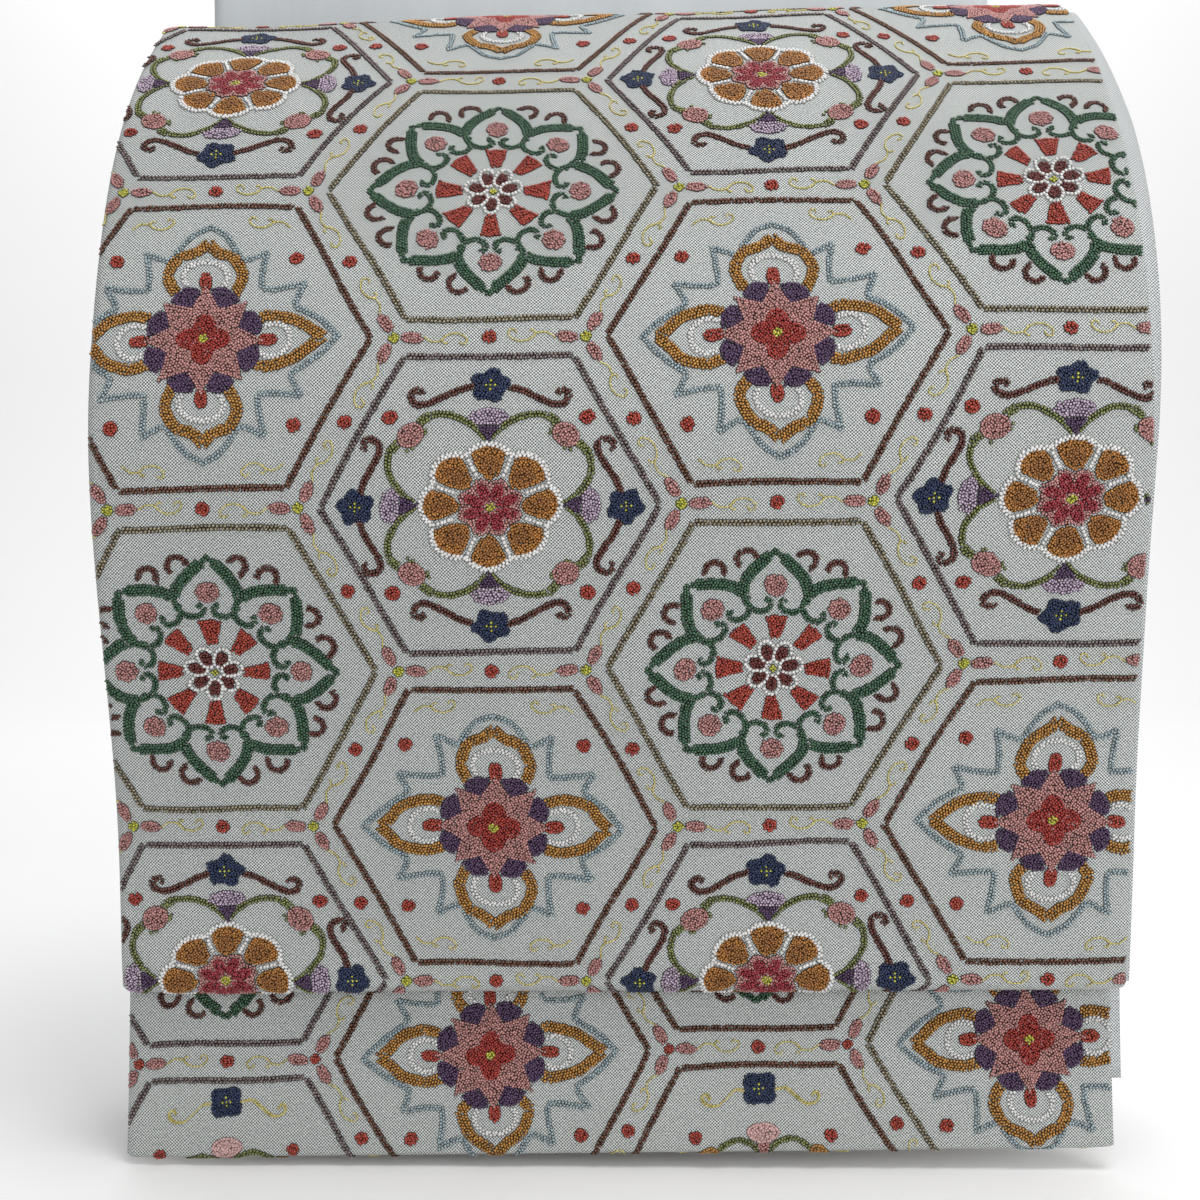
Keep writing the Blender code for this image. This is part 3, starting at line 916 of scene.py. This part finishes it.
def tail_flower(hand):
    """The tail's version: a navy flower with metal-thread tails over a pale pink bud."""
    navy_spray(hand, 1, "gold")
    sew_fill("pale_pink", hand(round_outline((0.0, 2.34), 0.50, 0.32)))
    sew_fill("pink", hand(((-0.24, 2.10), (0.24, 2.10), (0.10, 1.68), (-0.10, 1.68))))
    for sign in (1, -1):
        path = [(0.12 * sign, 1.72), (0.36 * sign, 1.98), (0.80 * sign, 2.12),
                (1.20 * sign, 1.98), (1.45 * sign, 1.78)]
        sew_line("olive", hand(curved(path)), rows=2, pitch=0.098, gap=0.085)
        sew_fill("ochre", hand(round_outline((1.75 * sign, 1.62), 0.34, 0.24, -0.5 * sign)))
        sew_fill("red_orange", hand(round_outline((2.12 * sign, 2.16), 0.20)))
        sew_thread(hand(curved(((2.6 * sign, 1.65), (2.3 * sign, 1.55), (2.5 * sign, 1.4)))))
    sew_fill("pale_pink", hand(round_outline((0.0, 1.30), 0.24, 0.20)))


BORDER_THREADS = {"gold": "brown_line", "green": "taupe_line", "ochre": "mauve_line"}


def hexagon(scale):
    corners = ((-CELL_SIDE / 2, CELL_STEP), (CELL_SIDE / 2, CELL_STEP), (CELL_SIDE, 0.0),
               (CELL_SIDE / 2, -CELL_STEP), (-CELL_SIDE / 2, -CELL_STEP), (-CELL_SIDE, 0.0))
    return np.array(corners) * scale


def sew_border(thread, to_cloth, centre):
    """A hexagon's border: a doubled row with slightly rounded corners."""
    scale = 1 - CHANNEL / 2 / CELL_STEP
    corners = hexagon(scale)
    following = np.roll(corners, -1, axis=0)
    for a, b in zip(corners, following):
        way = (b - a) / np.linalg.norm(b - a)
        path = np.linspace(a + way * 0.06, b - way * 0.06, 30)
        bow = 0.035 * np.sin(np.linspace(0, dice.uniform(2, 6), 30) + dice.uniform(0, 6))
        path = path + np.outer(bow, (-way[1], way[0]))
        sew_line(thread, to_cloth(path + centre), rows=2, pitch=0.116, gap=0.092, size=1.04,
                 slant=0.75, room=0.072)


def sew_channel(to_cloth, a, b, thread_dot):
    """What lies between two hexagons: buds at both ends, scrolls, and a dot at the middle."""
    a = np.asarray(a)
    b = np.asarray(b)
    middle = (a + b) / 2
    flip = dice.choice((1, -1))
    for start, end in ((a, b), (b, a)):
        way = (end - start) / np.linalg.norm(end - start)
        angle = math.atan2(way[1], way[0])
        bud = round_outline(start + way * 0.54, 0.33, 0.17, angle + dice.uniform(-0.12, 0.12), 16)
        sew_fill("pink", to_cloth(bud))
        root = to_cloth([start + way * 0.92])[0]
        tip = to_cloth([start + way * 1.3])[0]
        heading = (tip - root) / np.linalg.norm(tip - root)
        gold_scroll(root, heading, flip, 1.0 + dice.uniform(-0.06, 0.08))
    sew_fill(thread_dot, to_cloth(round_outline(middle, 0.205)))


def junctions_and_edges(rows):
    """The repeat's corners and edges round the hexagons of these rows."""
    corners = {}
    edges = {}
    for column in range(-1, 6):
        for row in rows:
            if (column + row) % 2 == 1:
                continue
            centre = np.array([FIRST_COLUMN + COLUMN_STEP * column, CELL_STEP * row])
            ring = hexagon(1.0) + centre
            for a, b in zip(ring, np.roll(ring, -1, axis=0)):
                key_a = (round(a[0], 1), round(a[1], 1))
                key_b = (round(b[0], 1), round(b[1], 1))
                corners[key_a] = a
                edges[tuple(sorted((key_a, key_b)))] = (a, b)
    return list(corners.values()), list(edges.values())


def motif_kind(column, row):
    if column % 2 == 0:
        return ("ochre", "gold", "green")[((6 - row) // 2) % 3]
    return ("gold", "green", "ochre")[((7 - row) // 2) % 3]


def drum_lattice(points):
    """The drum's repeat lies evenly on the cloth."""
    return np.atleast_2d(np.asarray(points, dtype=float))


TAIL_ROW = -5
TAIL_RISE = 3.25              # the tail's line of crosses above the hem
TAIL_TILT = math.radians(2.4)
TAIL_SIDE = -0.2
TAIL_BORDERS = ("mauve_line", "brown_line", "brown_line", "taupe_line")


def tail_lattice(points):
    """The same even repeat on the tail, a little askew."""
    p = drum_lattice(points)
    x = p[:, 0]
    y = p[:, 1] - TAIL_ROW * CELL_STEP
    return np.column_stack((x * math.cos(TAIL_TILT) - y * math.sin(TAIL_TILT) + TAIL_SIDE,
                            V_HEM * 100 + TAIL_RISE + x * math.sin(TAIL_TILT)
                            + y * math.cos(TAIL_TILT)))


def sew_figure():
    """The whole figure: the drum's cells and channels, then the tail's."""
    for to_cloth, rows, tail in ((drum_lattice, range(0, 9), False),
                                 (tail_lattice, range(-6, -3), True)):
        tilt = TAIL_TILT if tail else 0.0
        cells = [(column, row) for column in range(4) for row in rows
                 if (column + row) % 2 == 0]
        for column, row in cells:
            kind = motif_kind(column, row)
            base = np.array([FIRST_COLUMN + COLUMN_STEP * column, CELL_STEP * row])
            place = to_cloth([base])[0]
            lean = tilt + dice.uniform(-0.03, 0.03)
            if kind == "gold":
                gold_cross(Hand(place, 1.02, 0.98, lean))
            elif kind == "green":
                green_wheel(Hand(place, 1.03, 0.98, lean))
            elif tail:
                tail_flower(Hand(place, 1.0, 1.0, lean))
            else:
                ochre_flower(Hand(place, 1.06, 0.95, lean))
            thread = TAIL_BORDERS[column] if tail else BORDER_THREADS[kind]
            sew_border(thread, to_cloth, base)
        corners, edges = junctions_and_edges(rows)
        for corner in corners:
            middle = "red_orange" if tail else "gold_knot"
            sew_fill(middle, to_cloth(round_outline(corner, 0.16)))
        for a, b in edges:
            sew_channel(to_cloth, a, b, "red_orange")


# ---------------------------------------------------------------- knots made real
def knot_shape():
    """One knot, a unit across: a closed four-sided bead, its foot sunk in the cloth."""
    bm = bmesh.new()
    bmesh.ops.create_circle(bm, cap_ends=False, segments=4, radius=0.64)
    bmesh.ops.translate(bm, vec=(0, 0, 0.14), verts=bm.verts)
    around = bm.edges[:]
    for height in (0.60, -0.12):
        copied = bmesh.ops.extrude_edge_only(bm, edges=around)
        tip = [g for g in copied["geom"] if isinstance(g, bmesh.types.BMVert)]
        bmesh.ops.pointmerge(bm, verts=tip, merge_co=(0, 0, height))
    bmesh.ops.recalc_face_normals(bm, faces=bm.faces)
    mesh = mesh_from("knot_shape", bm)
    # ring: 1 on the top, low at the foot; the knot materials paint highlight and shade from it
    ring = mesh.attributes.new("ring", "FLOAT", "POINT")
    for vert in mesh.vertices:
        ring.data[vert.index].value = 1.0 if vert.co.z > 0.5 else 0.06
    shape = bpy.data.objects.new("knot_shape", mesh)
    bpy.context.scene.collection.objects.link(shape)
    return shape


def stitch_shape():
    """One stitch of metal thread, a unit long: a low closed bar with tapered ends."""
    bm = bmesh.new()
    bmesh.ops.create_cube(bm, size=1.0)
    bmesh.ops.scale(bm, vec=(1.0, 0.34, 0.34), verts=bm.verts)
    top = [v for v in bm.verts if v.co.z > 0]
    bmesh.ops.scale(bm, vec=(0.7, 0.5, 1.0), verts=top)
    bmesh.ops.translate(bm, vec=(0, 0, 0.12), verts=bm.verts)
    mesh = mesh_from("stitch_shape", bm)
    # ring: 1 on the top, lower at the foot; the gold thread material paints highlight and shade
    # from it
    ring = mesh.attributes.new("ring", "FLOAT", "POINT")
    for vert in mesh.vertices:
        ring.data[vert.index].value = 1.0 if vert.co.z > 0.2 else 0.35
    shape = bpy.data.objects.new("stitch_shape", mesh)
    bpy.context.scene.collection.objects.link(shape)
    return shape


def scattering(shape):
    """A node group that sets a shape on every point, turned and sized by its attributes."""
    group = bpy.data.node_groups.new("set_" + shape.name, "GeometryNodeTree")
    group.interface.new_socket("Geometry", in_out="INPUT", socket_type="NodeSocketGeometry")
    group.interface.new_socket("Geometry", in_out="OUTPUT", socket_type="NodeSocketGeometry")
    nodes = group.nodes
    link = group.links.new
    entry = nodes.new("NodeGroupInput")
    leave = nodes.new("NodeGroupOutput")
    info = nodes.new("GeometryNodeObjectInfo")
    info.inputs["Object"].default_value = shape
    turn = nodes.new("GeometryNodeInputNamedAttribute")
    turn.data_type = "FLOAT_VECTOR"
    turn.inputs["Name"].default_value = "turn"
    size = nodes.new("GeometryNodeInputNamedAttribute")
    size.data_type = "FLOAT_VECTOR"
    size.inputs["Name"].default_value = "size"
    spin = nodes.new("FunctionNodeEulerToRotation")
    place = nodes.new("GeometryNodeInstanceOnPoints")
    real = nodes.new("GeometryNodeRealizeInstances")
    link(entry.outputs[0], place.inputs["Points"])
    link(info.outputs["Geometry"], place.inputs["Instance"])
    link(turn.outputs["Attribute"], spin.inputs[0])
    link(spin.outputs[0], place.inputs["Rotation"])
    link(size.outputs["Attribute"], place.inputs["Scale"])
    link(place.outputs[0], real.inputs[0])
    link(real.outputs[0], leave.inputs[0])
    return group


def embroider(name, rows, group, material, unit):
    """All the knots of one thread as one mesh on the cloth."""
    data = np.array(rows)
    u = data[:, 0] / 100
    v = data[:, 1] / 100
    step = 0.0004
    place = on_cloth(u, v)
    right = on_cloth(u + step, v) - place
    up = on_cloth(u, v + step) - place
    right /= np.linalg.norm(right, axis=1)[:, None]
    out = np.cross(right, up)
    out /= np.linalg.norm(out, axis=1)[:, None]
    up = np.cross(out, right)
    c = np.cos(data[:, 3])[:, None]
    s = np.sin(data[:, 3])[:, None]
    x_axis = right * c + up * s
    y_axis = np.cross(out, x_axis)
    euler = np.column_stack((np.arctan2(y_axis[:, 2], out[:, 2]),
                             np.arcsin(np.clip(-x_axis[:, 2], -1, 1)),
                             np.arctan2(x_axis[:, 1], x_axis[:, 0])))
    across = data[:, 2] * unit
    size = np.column_stack((across * data[:, 4], across / data[:, 4], across * data[:, 6]))
    mesh = bpy.data.meshes.new(name)
    mesh.vertices.add(len(place))
    mesh.vertices.foreach_set("co", place.ravel())
    for label, kind, values in (("turn", "FLOAT_VECTOR", euler), ("size", "FLOAT_VECTOR", size),
                                ("shade", "FLOAT", data[:, 5])):
        layer = mesh.attributes.new(label, kind, "POINT")
        layer.data.foreach_set("vector" if kind == "FLOAT_VECTOR" else "value",
                               np.ascontiguousarray(values).ravel())
    carrier = bpy.data.objects.new(name, mesh)
    bpy.context.scene.collection.objects.link(carrier)
    set_on = carrier.modifiers.new("Set", "NODES")
    set_on.node_group = group
    graph = bpy.context.evaluated_depsgraph_get()
    made = bpy.data.meshes.new_from_object(carrier.evaluated_get(graph), depsgraph=graph)
    carrier.modifiers.clear()
    carrier.data = made
    made.name = name
    for label in ("turn", "size"):
        if label in made.attributes:
            made.attributes.remove(made.attributes[label])
    made.materials.clear()
    made.materials.append(material)
    made.shade_smooth()
    return carrier


# ---------------------------------------------------------------- the sash
ground = dye(168, 172, 170)
# both woven grounds: painted shade in the weave's gaps, painted highlight on the threads (the last
# factor)
figured = woven("figured_ground", ground, 0.00098, 2.4, 0.00022, 0.52, 1.85)
lining = woven("plain_lining", dye(190, 194, 195), 0.00098, 1.8, 0.0001, 0.6, 1.6)

last_row = int(SECTION_ROWS[-1])
edge_left = FRONT_LEFT + 0.0026 * np.linspace(0, 1, 5)[:-1] ** 1.4
edge_right = FRONT_RIGHT - 0.0026 * np.linspace(1, 0, 5)[1:] ** 1.4
inner_columns = np.linspace(FRONT_LEFT + 0.0026, FRONT_RIGHT - 0.0026, 66)
front_columns = np.concatenate((edge_left, inner_columns, edge_right))
sash_front, front_length = strip("sash_front_cloth", front_columns, 0, last_row, 0.0, FRONT_WALL,
                                 figured, curl=0.0011)
back_columns = np.linspace(BACK_LEFT, BACK_RIGHT, 34)
back_last = int(SECTION_ROWS[6] - 6)
sash_back, back_length = strip("sash_back_cloth", back_columns, 0, back_last, BACK_INSET,
                               BACK_WALL, lining)
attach(sash_front, "root")
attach(sash_back, "root")
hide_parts("drum_front", "tare_front")
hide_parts("drum_back_cloth", "inner_fold", "tare_back_cloth")

# ---------------------------------------------------------------- the embroidery
THREADS = {
    "brown_line": dye(104, 68, 50), "taupe_line": dye(134, 124, 100),
    "mauve_line": dye(116, 102, 100), "brown": dye(92, 50, 40), "ochre": dye(174, 118, 52),
    "ochre_deep": dye(138, 88, 36), "ochre_petal": dye(158, 104, 42), "pink": dye(180, 118, 114),
    "pale_pink": dye(222, 180, 176), "crimson": dye(138, 36, 48), "dark_red": dye(142, 38, 28),
    "dark_petal": dye(92, 34, 28), "red_orange": dye(152, 54, 38), "purple": dye(72, 48, 80),
    "lilac": dye(172, 148, 176), "navy": dye(24, 40, 74), "green": dye(56, 90, 66),
    "olive": dye(112, 118, 66), "pale_blue": dye(164, 182, 188), "white": dye(250, 249, 244),
    "gold_knot": dye(196, 170, 56),
}
# a knot's share of its dye in its painted shade at the foot and in its painted highlight on the
# top, and how crisp that highlight is; pale threads get less painted shade between their knots
DARK_THREADS = (0.03, 2.35, 1.7)
PALE_THREADS = {"white": (0.42, 1.05, 1.0), "pale_pink": (0.25, 1.2, 1.1),
                "pale_blue": (0.12, 1.4, 1.15)}
sew_figure()
bead = knot_shape()
stitch = stitch_shape()
bead_group = scattering(bead)
stitch_group = scattering(stitch)
for thread, rows in sewn.items():
    if thread == "gold_thread":
        # gold thread: painted shade under each stitch and a painted highlight on its top, besides
        # its metal shine
        material = knotted("gold_thread", dye(188, 174, 98), 0.16, 1.25, 1.0, 0.34, 0.5)
        piece = embroider("embroidery_gold_thread", rows, stitch_group, material, STITCH / 100)
    else:
        painted_shade_share, full, crisp = PALE_THREADS.get(thread, DARK_THREADS)
        material = knotted(thread + "_knots", THREADS[thread], painted_shade_share, full, crisp)
        piece = embroider("embroidery_" + thread, rows, bead_group, material, KNOT / 100)
    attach(piece, "root")
bpy.data.objects.remove(bead)
bpy.data.objects.remove(stitch)


# ---------------------------------------------------------------- folded rest, pad, cover
def outline_ring(bm, depth, left, right, bottom, top, corner, steps=4):
    """A ring of corners round an upright rectangle with rounded corners."""
    centres = ((right - corner, top - corner, 0), (left + corner, top - corner, 90),
               (left + corner, bottom + corner, 180), (right - corner, bottom + corner, 270))
    verts = []
    for x, z, start in centres:
        for turn in np.radians(np.linspace(start, start + 90, steps + 1)):
            verts.append(bm.verts.new((x + corner * math.cos(turn), depth - SET_BACK,
                                       z + corner * math.sin(turn))))
    for a, b in zip(verts, verts[1:] + verts[:1]):
        bm.edges.new((a, b))
    return verts


def skin(bm, rings):
    """Walls between neighbouring rings and a cap on each end, faces outward."""
    for ring, following in zip(rings, rings[1:]):
        edges = set()
        for loop in (ring, following):
            edges.update(bm.edges.get((a, b)) for a, b in zip(loop, loop[1:] + loop[:1]))
        bmesh.ops.bridge_loops(bm, edges=list(edges))
    bm.faces.new(rings[0])
    bm.faces.new(rings[-1])
    bmesh.ops.recalc_face_normals(bm, faces=bm.faces)


def folded_rest():
    """The sash's remaining length folded flat: layers with soft rounded edges."""
    layer = (REST_BACK - REST_FRONT) / REST_LAYERS
    bm = bmesh.new()
    rings = []
    for index in range(REST_LAYERS):
        uneven = (0.0, 0.0014, 0.0005, 0.0020, 0.0008, 0.0016, 0.0003, 0.0011, 0.0)[index]
        near = REST_FRONT + index * layer
        for place, groove in ((0.04, 0.0011), (0.2, 0.0003), (0.5, 0.0), (0.8, 0.0003),
                              (0.96, 0.0011)):
            inset = groove + uneven
            rings.append(outline_ring(bm, near + place * layer, FRONT_LEFT + inset,
                                      FRONT_RIGHT - inset, REST_BOTTOM + groove * 0.6,
                                      REST_TOP - inset, 0.006))
    skin(bm, rings)
    sheet_map = bm.loops.layers.uv.new("cloth")
    for face in bm.faces:
        for loop in face.loops:
            loop[sheet_map].uv = (loop.vert.co.x + 0.3 * loop.vert.co.y, loop.vert.co.z)
    piece = add_object("folded_length", mesh_from("folded_length", bm), figured)
    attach(piece, "root")
    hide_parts("folded_rest")


def rail_pad(material):
    """The padded top of the rail: flat below, round above, gathered at its ends."""
    radius = CREST_RADIUS - BACK_INSET - BACK_WALL - 0.0006
    bottom = BAR_TOP + GAP
    bm = bmesh.new()
    rings = []
    stops = (0.0, 0.0015, 0.005, 0.012, 0.03, 0.07, 0.12, 0.17, 0.22, 0.26, 0.278, 0.285,
             0.2885, 0.29)
    for stop in stops:
        x = PAD_LEFT + stop * (PAD_RIGHT - PAD_LEFT) / 0.29
        from_end = min(stop, 0.29 - stop)
        full = 1.0 - 0.30 * max(0.0, 1 - from_end / 0.006) ** 2
        centre = (CREST_DEPTH, CREST_HEIGHT + CREST_RISE * side_to_side(x))
        middle = centre[1] - 0.006
        top = arc(centre, radius, 180, 0, 24)
        puff = radius * 0.97
        low = [(CREST_DEPTH + puff, bottom + 0.010), (CREST_DEPTH + puff * 0.94, bottom + 0.003),
               (CREST_DEPTH + puff * 0.75, bottom + 0.0006), (CREST_DEPTH, bottom + 0.0002),
               (CREST_DEPTH - puff * 0.75, bottom + 0.0006),
               (CREST_DEPTH - puff * 0.94, bottom + 0.003), (CREST_DEPTH - puff, bottom + 0.010)]
        verts = []
        for number, (depth, height) in enumerate((*top, *low)):
            dent = 0.0005 * math.sin(9.0 * number / 31 * math.pi + 60 * x)
            depth = CREST_DEPTH + (depth - CREST_DEPTH) * (full - abs(dent) / radius)
            height = middle + (height - middle) * (full if height > bottom + 0.012 else 1.0)
            verts.append(bm.verts.new((x, depth - SET_BACK, max(height, bottom + 0.0002))))
        for a, b in zip(verts, verts[1:] + verts[:1]):
            bm.edges.new((a, b))
        rings.append(verts)
    skin(bm, rings)
    pad = add_object("rail_pad", mesh_from("rail_pad", bm), material)
    smooth = pad.modifiers.new("Round", "SUBSURF")
    smooth.levels = 1
    smooth.render_levels = 1
    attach(pad, "root")
    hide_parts("stand_pad")


def stand_cover(material):
    """The cloth sleeve pulled over the upright board, lightly creased, open below."""
    clear = 0.0004
    low = BOARD_BOTTOM + 0.0004
    size = (2 * (BOARD_HALF_WIDTH + clear), BOARD_BACK - BOARD_FRONT + 2 * clear,
            BOARD_TOP + clear - low)
    bm = bmesh.new()
    bmesh.ops.create_cube(bm, size=1.0)
    bmesh.ops.scale(bm, vec=size, verts=bm.verts)
    bmesh.ops.translate(bm, vec=(0, (BOARD_FRONT + BOARD_BACK) / 2 - SET_BACK,
                                 low + size[2] / 2), verts=bm.verts)
    corners = [e for e in bm.edges if all(v.co.z > 0.3 for v in e.verts)
               and abs(e.verts[0].co.x - e.verts[1].co.x) < GAP]
    bmesh.ops.bevel(bm, geom=corners, affect="EDGES", offset=BOARD_CORNER, segments=8,
                    profile=0.5, material=-1)
    under = [f for f in bm.faces if all(v.co.z < 0.1 for v in f.verts)]
    bmesh.ops.delete(bm, geom=under, context="FACES_ONLY")
    rims = [e for e in bm.edges if len(e.link_faces) == 2
            and e.calc_face_angle(0) > math.radians(60)]
    bmesh.ops.bevel(bm, geom=rims, affect="EDGES", offset=0.0044, segments=4, profile=0.5,
                    material=-1)
    for x in np.arange(-0.138, 0.139, 0.0046):
        bmesh.ops.bisect_plane(bm, geom=bm.verts[:] + bm.edges[:] + bm.faces[:],
                               plane_co=(x, 0, 0), plane_no=(1, 0, 0))
    for z in np.concatenate((np.arange(0.03, 0.36, 0.015), np.arange(0.364, 0.438, 0.005))):
        bmesh.ops.bisect_plane(bm, geom=bm.verts[:] + bm.edges[:] + bm.faces[:],
                               plane_co=(0, 0, z), plane_no=(0, 0, 1))
    bmesh.ops.recalc_face_normals(bm, faces=bm.faces)
    bm.normal_update()
    moves = []
    for vert in bm.verts:
        x, _, z = vert.co
        fold = 0.5 + 0.5 * math.sin(190 * x + 9 * math.sin(11 * z) + 1.0)
        broad = 0.5 + 0.5 * math.sin(61 * x - 17 * z + 0.6)
        across = 0.5 + 0.5 * math.sin(120 * z + 33 * x)
        push = 0.00035 * fold ** 2 + 0.0006 * broad + 0.00022 * across
        moves.append(vert.normal * push)
    for vert, move in zip(list(bm.verts), moves):
        vert.co += move
    cover = add_object("stand_cover", mesh_from("stand_cover", bm), material)
    wall = cover.modifiers.new("Wall", "SOLIDIFY")
    wall.thickness = COVER_WALL
    wall.offset = 1.0
    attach(cover, "root")


folded_rest()
satin = cover_cloth("satin_cover", dye(194, 199, 202))
rail_pad(satin)
stand_cover(satin)
wood = oiled_wood("oiled_pale_wood", dye(188, 160, 124))
board_cloth = cover_cloth("board_underlay", dye(210, 208, 200))
for node in ("stand_foot", "stand_post_left", "stand_post_right", "stand_bar"):
    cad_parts[node].data.materials.clear()
    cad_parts[node].data.materials.append(wood)
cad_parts["stand_board"].data.materials.clear()
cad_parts["stand_board"].data.materials.append(board_cloth)


# ---------------------------------------------------------------- studio
def studio():
    """Pale seamless floor and backdrop, broad soft light from the front and above."""
    bm = bmesh.new()
    bmesh.ops.create_grid(bm, x_segments=2, y_segments=48, size=1.0)
    for vert in bm.verts:
        share = (vert.co.y + 1) / 2
        run = share * 5.4 - 1.4
        if run < 1.6:
            y, z = run, 0.0
        elif run < 1.6 + 0.94:
            turn = (run - 1.6) / 0.6
            y, z = 1.6 + 0.6 * math.sin(turn), 0.6 - 0.6 * math.cos(turn)
        else:
            y, z = 2.2, 0.6 + (run - 2.54)
        vert.co = (vert.co.x * 3.0, y, z)
    made = Nodes("studio_paper")
    place = made.add("ShaderNodeTexCoord").outputs["Object"]
    cloud = made.noise(made.mapping(place, (3.0, 3.0, 3.0)), 1.0, 1.0)
    made.feed(made.shader.inputs["Base Color"],
              made.mix(cloud, (0.93, 0.93, 0.93, 1.0), (0.95, 0.95, 0.95, 1.0)))
    made.shine(0.9, 0.0, 0.1)
    paper = add_object("studio_floor", mesh_from("studio_floor", bm), made.material)

    world = bpy.data.worlds.new("studio")
    bpy.context.scene.world = world
    world.use_nodes = True
    world.node_tree.nodes["Background"].inputs["Color"].default_value = (1.0, 1.0, 1.0, 1.0)
    world.node_tree.nodes["Background"].inputs["Strength"].default_value = 0.5

    def area(name, place, aim, wide, tall, power):
        light = bpy.data.lights.new(name, "AREA")
        light.shape = "RECTANGLE"
        light.size = wide
        light.size_y = tall
        light.energy = power
        lamp = bpy.data.objects.new(name, light)
        bpy.context.scene.collection.objects.link(lamp)
        lamp.location = place
        away = np.array(place) - np.array(aim)
        flat = math.hypot(away[0], away[1])
        lamp.rotation_euler = (math.atan2(flat, away[2]), 0.0, math.atan2(away[0], -away[1]))
        return lamp

    area("soft_top", (0.26, -0.42, 1.20), (0.0, -0.06, 0.28), 0.7, 0.5, 6.6)
    area("soft_front", (0.85, -1.25, 0.50), (0.0, -0.1, 0.15), 0.8, 0.8, 7.6)
    area("paper_light", (0.0, 1.2, 2.2), (0.0, 1.9, 0.6), 2.6, 1.0, 24.0)


studio()
camera = bpy.data.cameras.new("camera")
camera.lens = 45.0
camera.sensor_width = 36.0
camera.clip_start = 0.01
viewer = bpy.data.objects.new("camera", camera)
bpy.context.scene.collection.objects.link(viewer)
viewer.location = (0.0, -0.567, 0.179)
viewer.rotation_euler = (math.radians(90), 0.0, 0.0)
bpy.context.scene.camera = viewer
bpy.context.scene.view_settings.view_transform = "Standard"
